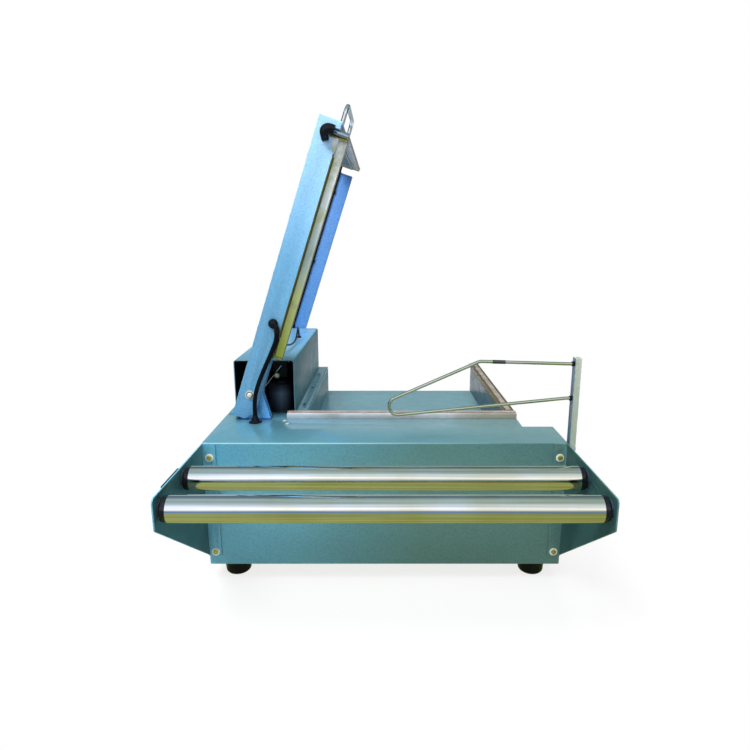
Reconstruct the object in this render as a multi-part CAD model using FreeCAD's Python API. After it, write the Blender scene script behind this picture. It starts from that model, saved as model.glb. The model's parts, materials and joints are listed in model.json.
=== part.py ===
"""Manual L-bar film sealer, modelled in millimetres with the lid standing open.

The machine is drawn from its own corner: x from the hinge side to the operator's side,
y from the roller face towards the far end, z up from the floor. The save function moves
everything so that the origin lies on the floor under the middle of the machine.
The lid is drawn closed, in lengths a along its arms and drops b below the pivot axis,
and is then turned up to its open stop.
"""
import FreeCAD, Part
import math
import os

Vector = FreeCAD.Vector

os.makedirs("parts", exist_ok=True)

# Sheet and plate
casing_sheet = 1.5
arm_sheet = 2.0
bracket_sheet = 2.0
fit_gap = 0.2
running_gap = 0.05
body_gap = 0.3

# Base casing
roller_box_width = 620.0
roller_box_depth = 88.0
casing_step = 56.0
casing_length = 592.0
casing_height = 226.0
casing_corner_radius = 3.0
foot_height = 29.0
bottom_plate_thickness = 2.0
vent_count = 10
vent_pitch = 9.0
vent_height = 3.5
vent_rise = 95.0
vent_near = 230.0
vent_far = 300.0

# Product tray
tray_left = 157.0
tray_side_land = 19.0
tray_near = 158.0
tray_depth = 67.0
tray_lip = 9.0

# Hood
hood_left = 17.0
hood_right = 134.0
hood_near = 164.0
hood_far_land = 20.0
hood_height = 109.0
hood_corner_radius = 5.0
hood_left_flange = 14.0
hood_right_flange = 21.0
hood_screw_pitch = 135.0
hood_screw_first = 64.5
hood_end_lip_inset = 20.0
hood_end_lip = 14.0
hood_shaft_clearance = 3.0
hood_screw_count = 3

# Feet
foot_radius = 24.0
foot_edge_radius = 6.0
foot_inset_x = 42.5
foot_inset_near = 31.0
foot_inset_far = 42.0
foot_screw_radius = 3.0
foot_screw_head = 4.0
foot_recess_radius = 7.0
foot_recess_depth = 12.0

# Sealing base
seal_base_width = 22.0
seal_base_height = 10.0
seal_base_left = 122.0
seal_insert_width = 10.0
seal_insert_depth = 2.5
seal_insert_height = 4.5
seal_edge_groove = 1.2

# Pivot
pivot_x = 55.0
pivot_height = 50.0
shaft_radius = 8.0
bush_wall = 3.0
bush_collar = 2.0
lid_open_angle = 71.5

# Pivot brackets
ear_thickness = 3.0
ear_top_radius = 17.5
ear_left = 37.0
ear_foot_right = 92.0
ear_foot_left = 30.0
pivot_washer_radius = 9.0
pivot_washer_thickness = 1.6
pivot_head_height = 3.6
bracket_foot_thickness = 2.5
bracket_foot_gap = 1.0
bracket_bolt_inset = 9.0
bracket_bolt_radius = 2.5
bracket_bolt_head = 3.0
deck_screw_radius = 1.8

# Lid arms, in the lid's own lengths a and b
arm_tail = 48.0
arm_overhang = 7.0
arm_top = 21.0
arm_drop = 20.0
near_arm_near = 126.0
near_arm_width = 26.0
front_arm_width = 26.0
far_arm_land = 12.0
far_arm_width = 16.0
far_arm_drop = 25.0
arm_slot_back = 31.0
arm_slot_radius = 10.0
arm_slot_depth = 1.0
clamp_notch_back = 29.0
clamp_notch_length = 16.0
clamp_notch_drop = 5.0

# Seal bars
bar_thickness = 8.0
bar_height = 15.3
bar_tip = 4.0
bar_chamfer = 3.0
near_bar_start = 84.0
near_bar_back = 28.5
tab_length = 26.5
tab_thickness = 1.5
tab_lap = 11.0
bar_wall_gap = 2.0
insulator_thickness = 3.0
insulator_proud = 1.0
wire_thickness = 1.4
wire_width = 2.0
terminal_length = 5.0
terminal_screw_radius = 1.6
stud_radius = 2.5
stud_head_radius = 4.5
stud_head_height = 3.0
stud_margin = 40.0
stud_count = 4

# Corner clamp and wire ends
separator_thickness = 2.5
clamp_barrel_radius = 6.0
clamp_width = 13.0

# Lid handle
handle_rod_radius = 4.5
handle_span = 162.0
handle_centre_y = 371.0
handle_height = 60.0
handle_bend_radius = 16.0
handle_washer_radius = 9.0
handle_washer_thickness = 3.0
handle_nut_radius = 7.0
handle_nut_height = 6.0

# Rollers and their brackets
roller_radius = 19.0
roller_wall = 2.0
roller_end_gap = 15.0
rear_roller_y = -97.0
front_roller_y = -190.0
rear_roller_drop = 20.0
front_roller_drop = 23.5
roller_plug_depth = 14.0
roller_plug_radius = 18.0
roller_plug_rounding = 4.0
axle_radius = 5.0
axle_head_radius = 7.5
axle_head_height = 4.0
spacer_radius = 14.0
spacer_length = 3.0
bracket_reach = 212.0
bracket_nose_drop = 46.0
bracket_foot_rise = 17.0
bracket_nose_radius = 7.0
bracket_flange_width = 23.0
bracket_screw_inset = 12.5
bracket_screw_head = 6.2
bracket_screw_rise = 3.4
bracket_screw_shank = 3.0
bracket_screw_top = 25.0
bracket_screw_bottom = 25.0
pad_length = 65.0
pad_height = 30.0
pad_thickness = 3.0
pad_near = 170.0

# Film opener
post_gap = 3.0
post_width = 10.0
post_depth = 16.0
post_y = 0.5
post_drop = 121.0
post_rise = 146.0
post_spacer_radius = 7.0
post_screw_radius = 5.0
post_screw_shank = 2.5
post_screw_top = 12.0
post_screw_bottom = 20.0
post_screw_head = 3.0
opener_wire_radius = 2.8
opener_upper_rise = 135.8
opener_lower_rise = 77.0
opener_bend_back = 153.0
opener_bend_rise = 4.2
opener_tip_back = 379.7
opener_tip_rise = 38.3
opener_straight = 6.5
opener_heel_radius = 20.0
opener_bend_radius = 14.0
opener_tip_radius = 15.1
opener_collar_radius = 4.4
opener_collar_length = 3.5
opener_insert = 6.0
sleeve_back = 132.0
sleeve_length = 21.0
sleeve_radius = 3.2

# Lift springs
spring_wire_radius = 1.5
spring_coil_radius = 13.0
spring_pitch = 3.6
spring_turns = 9
spring_near_y = 200.0
spring_far_land = 92.0
spring_leg_lean = 38.0
spring_anchor_leg = 62.0
spring_dog_leg = 24.0
spring_collar_radius = 12.5
spring_collar_width = 10.0
dog_pin_radius = 2.5
dog_reach = 17.0
anchor_reach = 42.0
anchor_bolt_radius = 3.5
anchor_plate_width = 28.0
anchor_plate_thickness = 3.0
anchor_foot_depth = 14.0
anchor_stand_off = 1.5
anchor_bolt_head = 4.0

# Transformer
transformer_x = 102.5
transformer_y = 200.0
can_radius = 25.0
can_height = 52.0
can_rounding = 4.0
can_base_radius = 26.5
can_base_height = 4.0
can_boss_radius = 9.0
can_boss_height = 3.0

# Control panel on the operator's side
switch_y = 270.0
panel_rise = 125.0
switch_width = 30.0
switch_height = 22.0
switch_bezel = 2.0
switch_depth = 20.0
rocker_tilt = 7.0
rocker_gap = 0.4
rocker_pin_radius = 1.5
rocker_pin_bite = 1.6
rocker_setback = 5.0
knob_y = 350.0
knob_radius = 18.0
knob_height = 16.0
knob_spindle_radius = 4.0
lamp_y = 310.0
lamp_radius = 6.0
inlet_y = 500.0
inlet_rise = 55.0
inlet_width = 28.0
inlet_height = 20.0
inlet_rim = 4.0

# Cables
cable_radius = 3.5
lead_radius = 2.0
boot_radius = 12.5
boot_height = 14.0
ball_radius = 9.0
ball_along = 145.3
ball_below = 4.8
ball_proud = 4.0
upper_boot_radius = 14.5
upper_boot_back = 23.5
upper_boot_below = 2.0
upper_boot_sunk = 3.0
strip_start = 14.0
strip_thickness = 3.0
strip_top = -9.0
strip_bottom = -5.0
strip_clearance = 0.8
clip_length = 8.0
clip_side = 2.0
clip_proud = 0.8
clip_places = (60.0, 240.0, 420.0)

# Derived levels and places
casing_floor = foot_height
deck = foot_height + casing_height
casing_width = roller_box_width - casing_step
tray_right = casing_width - tray_side_land
tray_floor = deck - tray_depth
hood_far = casing_length - hood_far_land
hood_under = deck + hood_height - casing_sheet
panel_z = casing_floor + panel_rise
inlet_z = casing_floor + inlet_rise
pivot_z = deck + pivot_height
arm_reach = casing_width - pivot_x + arm_overhang
far_arm_near = casing_length - far_arm_land
spring_far_y = casing_length - spring_far_land
front_bar_end = casing_length
arm_slot_centre = arm_reach - arm_slot_back
clamp_notch_low = arm_reach - clamp_notch_back
clamp_notch_high = clamp_notch_low + clamp_notch_length
near_bar_end = arm_reach - near_bar_back
tab_start = near_bar_end - tab_length
near_arm_far = near_arm_near + near_arm_width
far_arm_far = far_arm_near + far_arm_width
front_arm_inner = arm_reach - front_arm_width
near_bar_y = near_arm_far - arm_sheet - bar_wall_gap / 2 - bar_thickness
front_bar_a = front_arm_inner + arm_sheet + bar_wall_gap
seal_base_near = near_bar_y + (bar_thickness - seal_base_width) / 2
seal_base_far = seal_base_near + seal_base_width
side_base_left = pivot_x + front_bar_a + (bar_thickness - seal_base_width) / 2
insulator_top = arm_drop + insulator_proud - insulator_thickness
bar_top = arm_drop + insulator_proud
bar_bottom = bar_top + bar_height
rear_axis = (rear_roller_y, deck - rear_roller_drop)
front_axis = (front_roller_y, deck - front_roller_drop)
post_x = roller_box_width + post_gap
post_bottom = deck - post_drop
post_top = deck + post_rise
opener_upper_z = deck + opener_upper_rise
opener_lower_z = deck + opener_lower_rise
opener_bend_x = roller_box_width - opener_bend_back
opener_tip_x = roller_box_width - opener_tip_back
opener_tip_z = deck + opener_tip_rise
opener_foot_x = roller_box_width - opener_straight
sleeve_start_x = roller_box_width - sleeve_back
handle_near_y = handle_centre_y - handle_span / 2
handle_far_y = handle_centre_y + handle_span / 2
reach_left = -axle_head_height
reach_right = post_x + post_width + post_screw_head
reach_near = -bracket_reach
reach_far = far_arm_far + pivot_washer_thickness + pivot_head_height
centre = Vector((reach_left + reach_right) / 2, (reach_near + reach_far) / 2, 0)


def box(x0, x1, y0, y1, z0, z1):
    """Return a box between two corners."""
    return Part.makeBox(x1 - x0, y1 - y0, z1 - z0, Vector(x0, y0, z0))


def rod(start, direction, radius, length):
    """Return a cylinder that starts at a point and runs along a direction."""
    return Part.makeCylinder(radius, length, Vector(*start), Vector(*direction))


def outline(points, radii):
    """Return the closed wire of a polygon whose corners are rounded by their own radii."""
    count = len(points)
    entries = []
    exits = []
    middles = []
    for i in range(count):
        here = Vector(*points[i])
        back = (Vector(*points[i - 1]) - here).normalize()
        ahead = (Vector(*points[(i + 1) % count]) - here).normalize()
        half = back.getAngle(ahead) / 2
        setback = radii[i] / math.tan(half)
        bisector = (back + ahead).normalize()
        heart = here + bisector * (radii[i] / math.sin(half))
        entries.append(here + back * setback)
        exits.append(here + ahead * setback)
        middles.append(heart - bisector * radii[i])
    edges = []
    for i in range(count):
        if radii[i] > 0:
            edges.append(Part.Arc(entries[i], middles[i], exits[i]).toShape())
        following = entries[(i + 1) % count]
        if (following - exits[i]).Length > 1e-6:
            edges.append(Part.LineSegment(exits[i], following).toShape())
    return Part.Wire(edges)


def prism(points, radii, push):
    """Return a rounded polygon pushed along a vector."""
    return Part.Face(outline(points, radii)).extrude(Vector(*push))


def side_plate(profile, radii, y0, y1):
    """Return a plate whose outline lies in x and z, between two values of y."""
    return prism([(x, y0, z) for x, z in profile], radii, (0, y1 - y0, 0))


def end_plate(profile, radii, x0, x1):
    """Return a plate whose outline lies in y and z, between two values of x."""
    return prism([(x0, y, z) for y, z in profile], radii, (x1 - x0, 0, 0))


def bent_path(points, radii):
    """Return an open wire of straight runs joined by tangent arcs."""
    edges = []
    start = Vector(*points[0])
    for i in range(1, len(points) - 1):
        here = Vector(*points[i])
        back = (Vector(*points[i - 1]) - here).normalize()
        ahead = (Vector(*points[i + 1]) - here).normalize()
        half = back.getAngle(ahead) / 2
        setback = radii[i - 1] / math.tan(half)
        bisector = (back + ahead).normalize()
        entry = here + back * setback
        leave = here + ahead * setback
        middle = here + bisector * (radii[i - 1] / math.sin(half) - radii[i - 1])
        edges.append(Part.LineSegment(start, entry).toShape())
        edges.append(Part.Arc(entry, middle, leave).toShape())
        start = leave
    edges.append(Part.LineSegment(start, Vector(*points[-1])).toShape())
    return Part.Wire(edges)


def tube_along(path, radius):
    """Return a round bar swept along a wire of runs and arcs."""
    first = path.Edges[0]
    begin = first.valueAt(first.FirstParameter)
    heading = first.tangentAt(first.FirstParameter)
    ring = Part.Wire(Part.makeCircle(radius, begin, heading))
    return path.makePipeShell([ring], True, False)


def cord_radii(points):
    """Return the arc radius at each inner point of a cord's route."""
    radii = []
    for i in range(1, len(points) - 1):
        here = Vector(*points[i])
        back = Vector(*points[i - 1]) - here
        ahead = Vector(*points[i + 1]) - here
        turn = math.pi - back.getAngle(ahead)
        shorter = min(back.Length, ahead.Length)
        radii.append(0.45 * shorter / math.tan(turn / 2))
    return radii


def cord(name, points, radius):
    """Return a cord's tube and print its arc radii and its length."""
    radii = cord_radii(points)
    path = bent_path(points, radii)
    tube = tube_along(path, radius)
    section = math.pi * radius * radius
    print(name, "radii", [round(value) for value in radii], "length", round(path.Length, 1),
          "volume ratio", round(tube.Volume / (section * path.Length), 3))
    return tube


def pan_screw(start, direction, head_radius, head_height, shank_radius, shank_length):
    """Return a screw whose domed head stands on a face and whose shank goes into it."""
    head = rod(start, direction, head_radius, head_height)
    rim = [edge for edge in head.Edges if edge.Length > head_radius]
    top = max(rim, key=lambda edge: edge.CenterOfMass.dot(Vector(*direction)))
    head = head.makeFillet(head_height * 0.6, [top])
    inward = tuple(-value for value in direction)
    return head.fuse(rod(start, inward, shank_radius, shank_length))


def lid_box(a0, a1, y0, y1, b0, b1):
    """Return a box given in the closed lid's own lengths."""
    return box(pivot_x + a0, pivot_x + a1, y0, y1, pivot_z - b1, pivot_z - b0)


def lid_plate(profile, radii, y0, y1):
    """Return a plate across y whose outline is given in the closed lid's lengths."""
    return side_plate([(pivot_x + a, pivot_z - b) for a, b in profile], radii, y0, y1)


def opened(shape):
    """Turn a piece of the closed lid up to the open stop."""
    turned = shape.copy()
    turned.rotate(Vector(pivot_x, 0, pivot_z), Vector(0, 1, 0), -lid_open_angle)
    return turned


def save(name, solids):
    """Move a node's solids to the machine's frame and write them as one file."""
    if not isinstance(solids, list):
        solids = [solids]
    moved = []
    for solid in solids:
        piece = solid.copy()
        piece.translate(centre * -1)
        moved.extend(piece.Solids)
    shape = moved[0] if len(moved) == 1 else Part.makeCompound(moved)
    shape.exportStep("parts/" + name + ".step")


# Base casing, tray and hood

def casing_prism(inset, z0, z1, radius):
    """Return the casing's plan, drawn in by an inset, between two heights."""
    left = inset
    near = inset
    wide = roller_box_width - inset
    narrow = casing_width - inset
    step = roller_box_depth - inset
    far = casing_length - inset
    plan = [(left, near), (wide, near), (wide, step), (narrow, step), (narrow, far), (left, far)]
    radii = [radius, radius, radius, 0, radius, radius]
    return prism([(x, y, z0) for x, y in plan], radii, (0, 0, z1 - z0))


def base_casing():
    """Return the folded casing with its tray opening and panel cut-outs."""
    outer = casing_prism(0, casing_floor, deck, casing_corner_radius)
    inner = casing_prism(casing_sheet, casing_floor - 1, deck - casing_sheet, casing_corner_radius / 2)
    shell = outer.cut(inner)
    well = box(tray_left, tray_right, tray_near, casing_length + 1, tray_floor - casing_sheet, deck + 1)
    shell = shell.cut(well)
    wall = casing_width - casing_sheet - 1
    cuts = [
        switch_box(wall, casing_width + 1, fit_gap - switch_bezel),
        rod((wall, knob_y, panel_z), (1, 0, 0), knob_spindle_radius + running_gap, 4),
        rod((wall, lamp_y, panel_z), (1, 0, 0), lamp_radius - 2 + fit_gap, 4),
        inlet_box(-1, casing_sheet + 1, fit_gap),
    ]
    for row in range(vent_count):
        low = casing_floor + vent_rise + row * vent_pitch
        cuts.append(box(-1, casing_sheet + 1, vent_near, vent_far, low, low + vent_height))
    for x, y in small_screw_places() + hood_screw_places():
        cuts.append(rod((x, y, deck - 5), (0, 0, 1), deck_screw_radius, 10))
    return shell.cut(cuts + bracket_bolt_holes())


def switch_box(x0, x1, margin):
    """Return a box the size of the switch, grown by a margin, between two depths."""
    half = switch_width / 2 + margin
    rise = switch_height / 2 + margin
    return box(x0, x1, switch_y - half, switch_y + half, panel_z - rise, panel_z + rise)


def inlet_box(x0, x1, margin):
    """Return a box the size of the mains inlet, grown by a margin, between two depths."""
    half = inlet_width / 2 + margin
    rise = inlet_height / 2 + margin
    return box(x0, x1, inlet_y - half, inlet_y + half, inlet_z - rise, inlet_z + rise)


def bottom_plate():
    """Return the plate that closes the casing and carries the feet."""
    plate = casing_prism(casing_sheet + fit_gap, casing_floor, casing_floor + bottom_plate_thickness, 1.0)
    hole_radius = foot_screw_radius + fit_gap
    holes = [rod((x, y, casing_floor - 1), (0, 0, 1), hole_radius, 5) for x, y in foot_places()]
    return plate.cut(holes)


def foot_places():
    """Return the centre of each foot in plan."""
    near = foot_inset_near
    far = casing_length - foot_inset_far
    return [
        (foot_inset_x, near),
        (roller_box_width - foot_inset_x, near),
        (foot_inset_x, far),
        (casing_width - foot_inset_x, far),
    ]


def foot(x, y):
    """Return one moulded foot with a rounded tread and a screw recess."""
    body = Part.makeCone(foot_radius - 2, foot_radius, foot_height, Vector(x, y, 0))
    tread = [edge for edge in body.Edges if edge.BoundBox.ZMax < 0.1]
    body = body.makeFillet(foot_edge_radius, tread)
    recess = rod((x, y, -1), (0, 0, 1), foot_recess_radius, foot_recess_depth + 1)
    bore = rod((x, y, 0), (0, 0, 1), foot_screw_radius + fit_gap, foot_height + 1)
    return body.cut([recess, bore])


def foot_screw(x, y):
    """Return the screw that holds a foot to the bottom plate."""
    under = foot_recess_depth - foot_screw_head
    head = rod((x, y, under), (0, 0, 1), foot_recess_radius - 1, foot_screw_head)
    shank = rod((x, y, under + 2), (0, 0, 1), foot_screw_radius, foot_height)
    return head.fuse(shank)


def product_tray():
    """Return the sunk tray: floor, near wall, two side walls and hanging lips."""
    under = deck - casing_sheet
    left = tray_left - casing_sheet
    right = tray_right + casing_sheet
    near = tray_near - casing_sheet
    far = casing_length - casing_sheet - fit_gap
    shell = box(left, right, near, far, tray_floor - casing_sheet, under)
    shell = shell.cut(box(tray_left, tray_right, tray_near, far + 1, tray_floor, under + 1))
    lips = [
        box(left - tray_lip, left + 0.1, near, far, under - casing_sheet, under),
        box(right - 0.1, right + tray_lip, near, far, under - casing_sheet, under),
        box(left - tray_lip, right + tray_lip, near - tray_lip, near + 0.1, under - casing_sheet, under),
    ]
    return shell.fuse(lips).removeSplitter()


def hood_cover():
    """Return the hood: an inverted channel with foot flanges, open at the near end."""
    top = deck + hood_height
    profile = [(hood_left, deck), (hood_left, top), (hood_right, top), (hood_right, deck)]
    radii = [0, hood_corner_radius, hood_corner_radius, 0]
    outer = side_plate(profile, radii, hood_near, hood_far)
    inner_profile = [
        (hood_left + casing_sheet, deck - 1),
        (hood_left + casing_sheet, top - casing_sheet),
        (hood_right - casing_sheet, top - casing_sheet),
        (hood_right - casing_sheet, deck - 1),
    ]
    inner_radius = hood_corner_radius - casing_sheet
    inner = side_plate(inner_profile, [0, inner_radius, inner_radius, 0], hood_near - 1, hood_far + 1)
    cover = outer.cut(inner)
    flanges = [
        box(hood_left - hood_left_flange, hood_left + 1, hood_near, hood_far, deck, deck + casing_sheet),
        box(hood_right - 1, hood_right + hood_right_flange, hood_near, hood_far, deck, deck + casing_sheet),
    ]
    cover = cover.fuse(flanges).removeSplitter()
    holes = [rod((x, y, deck - 1), (0, 0, 1), deck_screw_radius, 4) for x, y in hood_screw_places()]
    lead_x, lead_y, lead_z = hood_lead_route[0]
    holes.append(rod((lead_x, lead_y, top - 4), (0, 0, 1), lead_radius + 1 + fit_gap, 6))
    return cover.cut(holes)


def hood_screw_places():
    """Return the screw places along both foot flanges."""
    places = []
    for x in (hood_left - hood_left_flange / 2, hood_right + hood_right_flange / 2 - 1):
        for i in range(hood_screw_count):
            places.append((x, hood_near + hood_screw_first + i * hood_screw_pitch))
    return places


def hood_end_plate():
    """Return the plate that closes the hood's far end round the shaft."""
    side = casing_sheet + fit_gap
    inner_radius = hood_corner_radius - casing_sheet
    top = deck + hood_height - side
    left = hood_left + side
    right = hood_right - side
    profile = [(left, deck), (left, top), (right, top), (right, deck)]
    plate = side_plate(profile, [0, inner_radius, inner_radius, 0], hood_far - casing_sheet, hood_far)
    lip_left = hood_left + hood_end_lip_inset
    lip_right = hood_right - hood_end_lip_inset
    lip = box(lip_left, lip_right, hood_far - hood_end_lip, hood_far, deck, deck + casing_sheet)
    hole_radius = shaft_radius + hood_shaft_clearance
    behind = hood_far - 2 * casing_sheet
    shaft_hole = rod((pivot_x, behind, pivot_z), (0, 1, 0), hole_radius, 4 * casing_sheet)
    return plate.fuse(lip).cut(shaft_hole).removeSplitter()


# Sealing base

def seal_profile(along_x):
    """Return the channel section of the sealing base, centred on zero, with edge grooves."""
    half = seal_base_width / 2
    groove = seal_insert_width / 2
    top = seal_base_height
    floor = top - seal_insert_depth
    notch = seal_edge_groove
    right = [
        (groove, floor), (groove, top), (groove + 2 * notch, top), (groove + 2 * notch, top - notch),
        (groove + 3 * notch, top - notch), (groove + 3 * notch, top), (half, top), (half, 0),
    ]
    left = [(-across, z) for across, z in reversed(right)]
    section = right + left
    if along_x:
        return [(0, across, z) for across, z in section]
    return [(across, 0, z) for across, z in section]


def near_seal_base():
    """Return the sealing base along the near side."""
    bar = prism(seal_profile(True), [0] * 16, (casing_width - seal_base_left, 0, 0))
    bar.translate(Vector(seal_base_left, seal_base_near + seal_base_width / 2, deck))
    return bar


def side_seal_base():
    """Return the sealing base along the operator's side."""
    length = casing_length - seal_base_far
    bar = prism(seal_profile(False), [0] * 16, (0, length, 0))
    bar.translate(Vector(side_base_left + seal_base_width / 2, seal_base_far, deck))
    return bar


def insert_profile():
    """Return the domed section of the rubber insert as heights across its width."""
    half = seal_insert_width / 2 - fit_gap
    return half, seal_insert_height, 1.5


def near_seal_insert():
    """Return the rubber insert of the near sealing base."""
    half, height, crown = insert_profile()
    floor = deck + seal_base_height - seal_insert_depth
    middle = seal_base_near + seal_base_width / 2
    profile = [(middle - half, floor), (middle - half, floor + height), (middle + half, floor + height),
               (middle + half, floor)]
    return end_plate(profile, [0, crown, crown, 0], seal_base_left, casing_width)


def side_seal_insert():
    """Return the rubber insert of the side sealing base."""
    half, height, crown = insert_profile()
    floor = deck + seal_base_height - seal_insert_depth
    middle = side_base_left + seal_base_width / 2
    profile = [(middle - half, floor), (middle - half, floor + height), (middle + half, floor + height),
               (middle + half, floor)]
    return side_plate(profile, [0, crown, crown, 0], seal_base_far, casing_length)


def deck_screws():
    """Return the hood's screws and the two small ones beside the sealing base."""
    screws = [pan_screw((x, y, deck), (0, 0, 1), 3.2, 1.8, deck_screw_radius, casing_sheet)
              for x, y in small_screw_places()]
    for x, y in hood_screw_places():
        seat = (x, y, deck + casing_sheet)
        screws.append(pan_screw(seat, (0, 0, 1), 3.6, 1.8, deck_screw_radius, 2 * casing_sheet))
    return screws


def small_screw_places():
    """Return the places of the two small screws beside the sealing base."""
    return [(seal_base_left - 2, seal_base_near - 12), (seal_base_left + 6, seal_base_near - 31)]


# Roller brackets and rollers

def roller_bracket(outer, inward):
    """Return a bracket plate with its flange folded across the front face."""
    nose = -bracket_reach
    foot = casing_floor + bracket_foot_rise
    profile = [(0, foot), (0, deck), (nose, deck), (nose, deck - bracket_nose_drop)]
    radii = [0, 0, bracket_nose_radius, bracket_nose_radius]
    inner = outer + inward * bracket_sheet
    plate = end_plate(profile, radii, min(outer, inner), max(outer, inner))
    edge = outer + inward * bracket_flange_width
    flange = box(min(outer, edge), max(outer, edge), -bracket_sheet, 0, foot, deck)
    bracket = plate.fuse(flange).removeSplitter()
    holes = []
    for y, z in (rear_axis, front_axis):
        holes.append(rod((outer - 5, y, z), (1, 0, 0), axle_radius + fit_gap, 10))
    for x, z in bracket_screw_places(outer, inward):
        holes.append(rod((x, -5, z), (0, 1, 0), bracket_screw_shank + fit_gap, 6))
    return bracket.cut(holes)


def bracket_screw_places(outer, inward):
    """Return the two screw places on a bracket's flange."""
    x = outer + inward * bracket_screw_inset
    return [(x, deck - bracket_screw_top), (x, casing_floor + bracket_screw_bottom)]


def bracket_screws():
    """Return the four screws that hold the brackets to the front face."""
    screws = []
    for outer, inward in ((0, 1), (roller_box_width, -1)):
        for x, z in bracket_screw_places(outer, inward):
            seat = (x, -bracket_sheet, z)
            screws.append(pan_screw(seat, (0, -1, 0), bracket_screw_head, bracket_screw_rise,
                                    bracket_screw_shank, bracket_sheet))
    return screws


def roller_tube(axis):
    """Return a roller's tube about its axis."""
    y, z = axis
    start = roller_end_gap
    length = roller_box_width - 2 * roller_end_gap
    tube = rod((start, y, z), (1, 0, 0), roller_radius, length)
    bore = rod((start - 1, y, z), (1, 0, 0), roller_radius - roller_wall, length + 2)
    return tube.cut(bore)


def roller_plugs(axis):
    """Return the two flanged end plugs of a roller, bored for its axles."""
    plugs = []
    y, z = axis
    inner = roller_radius - roller_wall
    flange = roller_end_gap - bracket_sheet - spacer_length
    for end, outward in ((roller_end_gap, -1), (roller_box_width - roller_end_gap, 1)):
        rim = rod((end, y, z), (outward, 0, 0), roller_plug_radius, flange)
        spigot = rod((end, y, z), (-outward, 0, 0), inner, roller_plug_depth)
        mouth = (end + outward * (flange + 1), y, z)
        bore = rod(mouth, (-outward, 0, 0), axle_radius + running_gap, flange + roller_plug_depth + 2)
        edges = [edge for edge in rim.Edges if edge.Length > roller_plug_radius]
        edges = [edge for edge in edges if abs(edge.CenterOfMass.x - end) > 1]
        rim = rim.makeFillet(roller_plug_rounding, edges)
        plugs.append(rim.fuse(spigot).cut(bore))
    return plugs


def roller_axles():
    """Return the four headed axle pins with their spacer collars."""
    pins = []
    collar = spacer_length - body_gap
    length = roller_end_gap + roller_plug_depth - 2
    for y, z in (rear_axis, front_axis):
        for outer, inward in ((0, 1), (roller_box_width, -1)):
            head = rod((outer, y, z), (-inward, 0, 0), axle_head_radius, axle_head_height)
            pin = rod((outer, y, z), (inward, 0, 0), axle_radius, length)
            face = outer + inward * bracket_sheet
            spacer = rod((face, y, z), (inward, 0, 0), spacer_radius, collar)
            pins.append(head.fuse([pin, spacer]))
    return pins


def bracket_pad():
    """Return the thin black pad on the left bracket's outer face."""
    return box(-pad_thickness, 0, -pad_near, -pad_near + pad_length, deck - pad_height, deck)


# Pivot

def pivot_ear(y0, y1):
    """Return one upright ear of a pivot bracket."""
    top = pivot_z + ear_top_radius
    crown = pivot_x + ear_top_radius
    profile = [(ear_left, deck), (ear_left, top), (crown + 2, top), (ear_foot_right, deck)]
    return side_plate(profile, [0, ear_top_radius - 0.5, ear_top_radius - 2, 0], y0, y1)


def near_pivot_bracket():
    """Return the near pivot bracket: a foot with two ears inside the arm."""
    first = near_arm_near + arm_sheet + 3
    last = near_arm_far - arm_sheet - 3
    foot_piece = box(ear_foot_left, ear_foot_right, first, last, deck, deck + bracket_foot_thickness)
    ears = [pivot_ear(first, first + ear_thickness), pivot_ear(last - ear_thickness, last)]
    bracket = foot_piece.fuse(ears).removeSplitter()
    bore = rod((pivot_x, first - 1, pivot_z), (0, 1, 0), shaft_radius + bush_wall, last - first + 2)
    return bracket.cut([bore] + bracket_bolt_holes())


def far_pivot_bracket():
    """Return the far pivot bracket: one ear on a foot, inside the far arm."""
    middle = far_arm_near + far_arm_width / 2
    first = middle - ear_thickness / 2
    last = middle + ear_thickness / 2
    start = hood_far + bracket_foot_gap
    foot_piece = box(ear_foot_left, ear_foot_right, start, last, deck, deck + bracket_foot_thickness)
    bracket = foot_piece.fuse(pivot_ear(first, last)).removeSplitter()
    bore = rod((pivot_x, first - 1, pivot_z), (0, 1, 0), shaft_radius + bush_wall, ear_thickness + 2)
    return bracket.cut([bore] + bracket_bolt_holes())


def pivot_bushes():
    """Return the flanged bushes in the three ears."""
    near_first = near_arm_near + arm_sheet + 3
    near_last = near_arm_far - arm_sheet - 3
    far_middle = far_arm_near + far_arm_width / 2
    seats = [
        (near_first, ear_thickness, -1),
        (near_last - ear_thickness, ear_thickness, 1),
        (far_middle - ear_thickness / 2, ear_thickness, -1),
    ]
    bushes = []
    for y, width, side in seats:
        outer = shaft_radius + bush_wall
        sleeve = rod((pivot_x, y, pivot_z), (0, 1, 0), outer, width)
        if side < 0:
            rim = rod((pivot_x, y - bush_collar, pivot_z), (0, 1, 0), outer + 2, bush_collar)
        else:
            rim = rod((pivot_x, y + width, pivot_z), (0, 1, 0), outer + 2, bush_collar)
        bore = rod((pivot_x, y - 5, pivot_z), (0, 1, 0), shaft_radius + running_gap, width + 10)
        bushes.append(sleeve.fuse(rim).cut(bore))
    return bushes


def bracket_bolt_places():
    """Return the bolt places on both pivot brackets' feet."""
    places = []
    for x in (ear_foot_left + bracket_bolt_inset, ear_foot_right - bracket_bolt_inset):
        places.append((x, near_arm_near + near_arm_width / 2))
        places.append((x, (hood_far + far_arm_near + bracket_foot_gap) / 2))
    return places


def bracket_bolt_holes():
    """Return the holes for the pivot brackets' bolts."""
    return [rod((x, y, deck - 5), (0, 0, 1), bracket_bolt_radius, 10) for x, y in bracket_bolt_places()]


def bracket_bolts():
    """Return the bolts that hold both pivot brackets to the deck."""
    bolts = []
    seat = deck + bracket_foot_thickness
    depth = bracket_foot_thickness + casing_sheet
    for x, y in bracket_bolt_places():
        bolts.append(pan_screw((x, y, seat), (0, 0, 1), bracket_bolt_head, 2.5, bracket_bolt_radius, depth))
    return bolts


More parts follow.
